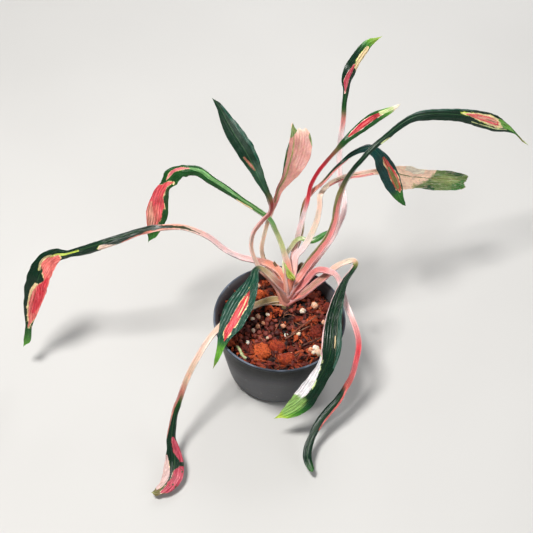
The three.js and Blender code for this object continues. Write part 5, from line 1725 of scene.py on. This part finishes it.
def stem_piece():
    """The stem, with low rings, fine flutes and the edges of the stalk bases wound round it."""
    tip = STEM_RADII[-1][1]
    profile = [(0, 0)]
    for length in np.linspace(0, tip, STEM_RINGS)[:-1]:
        ring = STEM_RING_DEPTH * max(0, math.sin(length * STEM_RING_RATE)) ** 6
        slim = 1 - STEM_SLIM * smooth_step(*STEM_SLIM_BAND, length)
        profile.append((slim * STEM_CORE * stem_radius(length) + ring, length))
    profile.append((0, tip))
    points, faces = turned(profile, STEM_SEGMENTS)
    angle = np.arctan2(points[:, 1], points[:, 0])
    height = points[:, 2].copy()
    wrap = (STEM_WRAPS * angle / WHOLE_TURN + height / STEM_WRAP_PITCH) % 1
    flutes = 0.007 * np.sin(17 * angle + height * 0.1) + 0.03 * np.sin(3 * angle + height * 0.12)
    points[:, :2] *= (1 + flutes)[:, None]
    outward = np.hypot(points[:, 0], points[:, 1])
    grown = outward + STEM_WRAP_STEP * (1 - wrap) * smooth_step(0, 3, outward)
    points[:, :2] *= (grown / np.maximum(outward, 0.001))[:, None]
    piece = new_piece("stem_fine", along_stem(points), faces, stem_material(), ["stem"], "stem")
    store(piece, "stem_map", np.stack([9 * angle, height, wrap], axis=1), "FLOAT_VECTOR")


def stem_material():
    """Pink and cream streaks, brown low down, with a darker seam along each wrap."""
    skin = Skin("stem_skin")
    stem_map = skin.attribute("stem_map", "Vector")
    _, height, wrap = skin.parts(stem_map)
    streaks = skin.cloud(skin.stretched(stem_map, 0.9, 0.06, 3), 1.0, 5.0, 0.6)
    low = skin.shades(streaks, (0.3, (172, 98, 84)), (0.5, (206, 130, 112)), (0.7, (232, 178, 162)))
    high = skin.shades(streaks, (0.3, (200, 108, 82)), (0.5, (220, 132, 106)), (0.7, (234, 160, 134)))
    colour = skin.mixed(skin.between(height, 38, 50), low, high)
    colour = skin.mixed(skin.between(height, 31, 22, 0, 0.6), colour, (84, 48, 34))
    colour = skin.mixed(skin.between(wrap, 0.9, 0.97, 0, 0.7), colour, (168, 92, 78))
    return skin.finish(
        colour, skin.spread(streaks, 0.38, 0.55), streaks, 0.5, 0.0005,
        Subsurface_Weight=0.1, Subsurface_Scale=0.002,
    )


def sheath_rings(leaf, form, layer, steps, shares):
    """Rings that lie round the stem at their lower end and meet the stalk at their upper end."""
    outward = form.back - form.front
    outward /= np.linalg.norm(outward, axis=2)[..., None]
    lift = np.interp(steps, [0, 0.8, 1], [0.5, 0.35, -0.25])
    upper = form.back + outward * lift[:, None, None]

    axis = unit(STEM_TOP - STEM_FOOT)
    root_length = (leaf["root"] - STEM_FOOT[2]) / axis[2]
    low_length = max(root_length - SHEATH_LENGTH, SHEATH_LOWEST)
    leaving = upper[-1, SHEATH_WIDTH_STEPS // 2] - STEM_FOOT
    leaving = unit(leaving - axis * (leaving @ axis))
    around = np.cross(axis, leaving)
    if around @ (form.back[0, -1] - form.back[0, 0]) < 0:
        around = -around
    thin = 0.18 + 0.4 * np.sqrt(1 - np.abs(shares) ** 4)
    rings = []
    for i, step in enumerate(steps):
        length = low_length + (root_length + 1 - low_length) * step
        radius = STEM_CORE * stem_radius(length) + SHEATH_GAP + SHEATH_LAYER * layer
        angle = shares * math.radians(165 - 85 * step**3)
        round_stem = np.cos(angle)[:, None] * leaving + np.sin(angle)[:, None] * around
        ring = STEM_FOOT + axis * length + radius * round_stem
        outer = ring + (upper[i] - ring) * smooth_step(0.5, 1, step)
        inward = -(outer - STEM_FOOT - axis * length)
        inward /= np.linalg.norm(inward, axis=1)[:, None]
        inner = outer + inward * thin[:, None]
        rings.append(np.concatenate([outer, inner[::-1]]))
    return np.array(rings)


def sheath_piece(leaf, layer, material):
    """The flat base of a stalk, which clasps the stem below the place where the stalk leaves it."""
    steps = np.linspace(0, 1, SHEATH_STEPS + 1)
    shares = np.linspace(-1, 1, SHEATH_WIDTH_STEPS + 1)
    first, last = SHEATH_PLACES
    places = first + (last - first) * steps
    rings = sheath_rings(leaf, LeafForm(leaf, places, shares, 0), layer, steps, shares)
    faces = sheet_faces(*rings.shape[:2])
    piece = new_piece(leaf["name"] + "_sheath", rings.reshape(-1, 3), faces, material, (), "stem")

    ring_shares = np.concatenate([shares, shares[::-1]])
    tones = leaf_tones(leaf["tones"], places)
    brownness = smooth_step(0.4, 0, steps)[:, None] * 0.5
    tones = tones + (linear("rose_brown") * 0.8 - tones) * brownness
    # Painted shade: the sheath's edges are darker where the sheaths overlap
    edge = smooth_step(0.8, 0.98, np.abs(ring_shares))[None, :, None] * 0.75
    tones = tones[:, None, :] * (1 - edge) + linear("brown_red") * 0.7 * edge
    across = 7 * ring_shares * np.ones((len(steps), 1)) + 40 * layer
    store_map(piece, across, 22 * steps[:, None], 0, 0.5, ring_shares, tones)


def add_sheaths():
    """A sheath for each grown leaf. The lower a leaf's root, the further out its sheath lies."""
    material = leaf_material("sheath", dict(patches=[]))
    clasping = [leaf for leaf in LEAVES if leaf["name"] not in ("leaf_small", "new_shoot")]
    for layer, leaf in enumerate(sorted(clasping, key=lambda leaf: -leaf["root"])):
        sheath_piece(leaf, layer, material)


# The floor, the lights and the camera
def add_floor():
    skin = Skin("pale_floor")
    place = skin.position()
    soft = skin.cloud(place, 3, 2.0)

    # Far from the plant, where the lamps hardly reach, a weak glow keeps the floor pale
    distance = skin.vector_maths("LENGTH", place)[1]
    glow = skin.between(distance, FLOOR_GLOW_START, FLOOR_GLOW_FULL, 0, FLOOR_GLOW_POWER)
    material = skin.finish(
        skin.shades(soft, *FLOOR_SHADES), 0.75, soft, 0.02, 0.001,
        Emission_Color=skin.rgba(FLOOR_GLOW), Emission_Strength=glow,
    )
    far = FLOOR_REACH
    mesh = bpy.data.meshes.new("floor")
    mesh.from_pydata([(-far, -far, 0), (far, -far, 0), (far, far, 0), (-far, far, 0)], [], [(0, 1, 2, 3)])
    mesh.materials.append(material)
    floor = added("floor", mesh)


def add_light(name, place, size, power, colour):
    light = bpy.data.lights.new(name, "AREA")
    light.shape = "DISK"
    light.size = size
    light.energy = power
    light.color = colour
    lamp = added(name, light)
    lamp.location = place
    lamp.rotation_euler = (LIGHT_TARGET - Vector(place)).to_track_quat("-Z", "Y").to_euler()


def add_sky():
    world = bpy.data.worlds.new("studio")
    world.use_nodes = True
    bpy.context.scene.world = world
    nodes = Nodes(world.node_tree)
    height = nodes.parts(nodes.node("TexCoord").outputs["Generated"])[2]
    strength = nodes.between(height, 0.0, HORIZON_HEIGHT, HORIZON_LIGHT, SKY_LIGHT)
    background = world.node_tree.nodes["Background"]
    background.inputs["Color"].default_value = (1.0, 1.0, 1.0, 1)
    world.node_tree.links.new(strength, background.inputs["Strength"])


def add_camera():
    """The camera, turned so that the rim's centre falls on its pixel of the photograph."""
    pitch, roll = CAMERA_PITCH, CAMERA_ROLL
    back = Vector((0, -math.cos(pitch), math.sin(pitch)))
    level_right = Vector((1, 0, 0))
    level_up = back.cross(level_right)
    right = math.cos(roll) * level_right + math.sin(roll) * level_up
    up = math.cos(roll) * level_up - math.sin(roll) * level_right
    across, down = ((pixel - IMAGE_SIDE / 2) / FOCAL_PIXELS for pixel in RIM_CENTRE_PIXEL)
    to_rim = (right * across - up * down - back).normalized()
    lens = bpy.data.cameras.new("camera")
    lens.sensor_width = SENSOR_WIDTH
    lens.lens = FOCAL_PIXELS / IMAGE_SIDE * SENSOR_WIDTH
    camera = added("camera", lens)
    turn = Matrix((right, up, back)).transposed().to_4x4()
    camera.matrix_world = Matrix.Translation(RIM_CENTRE - to_rim * RIM_DISTANCE) @ turn
    bpy.context.scene.camera = camera


leaf_points = []
for number, leaf in enumerate(LEAVES):
    piece = leaf_piece(leaf, number, [leaf["name"]])
    leaf_points += [vert.co[:] for vert in piece.data.vertices]
add_sheaths()
for number, leaf in enumerate(SMALL_LEAVES, SMALL_LEAF_SEED):
    leaf_piece(leaf, number)
pot_piece()
soil_bed()
Mix(np.array(leaf_points) / MM).fill()
for twig in TWIGS:
    twig_piece(**twig)
stem_piece()
add_floor()
add_sky()
for light in LIGHTS:
    add_light(**light)
add_camera()
bpy.context.scene.view_settings.view_transform = "Standard"
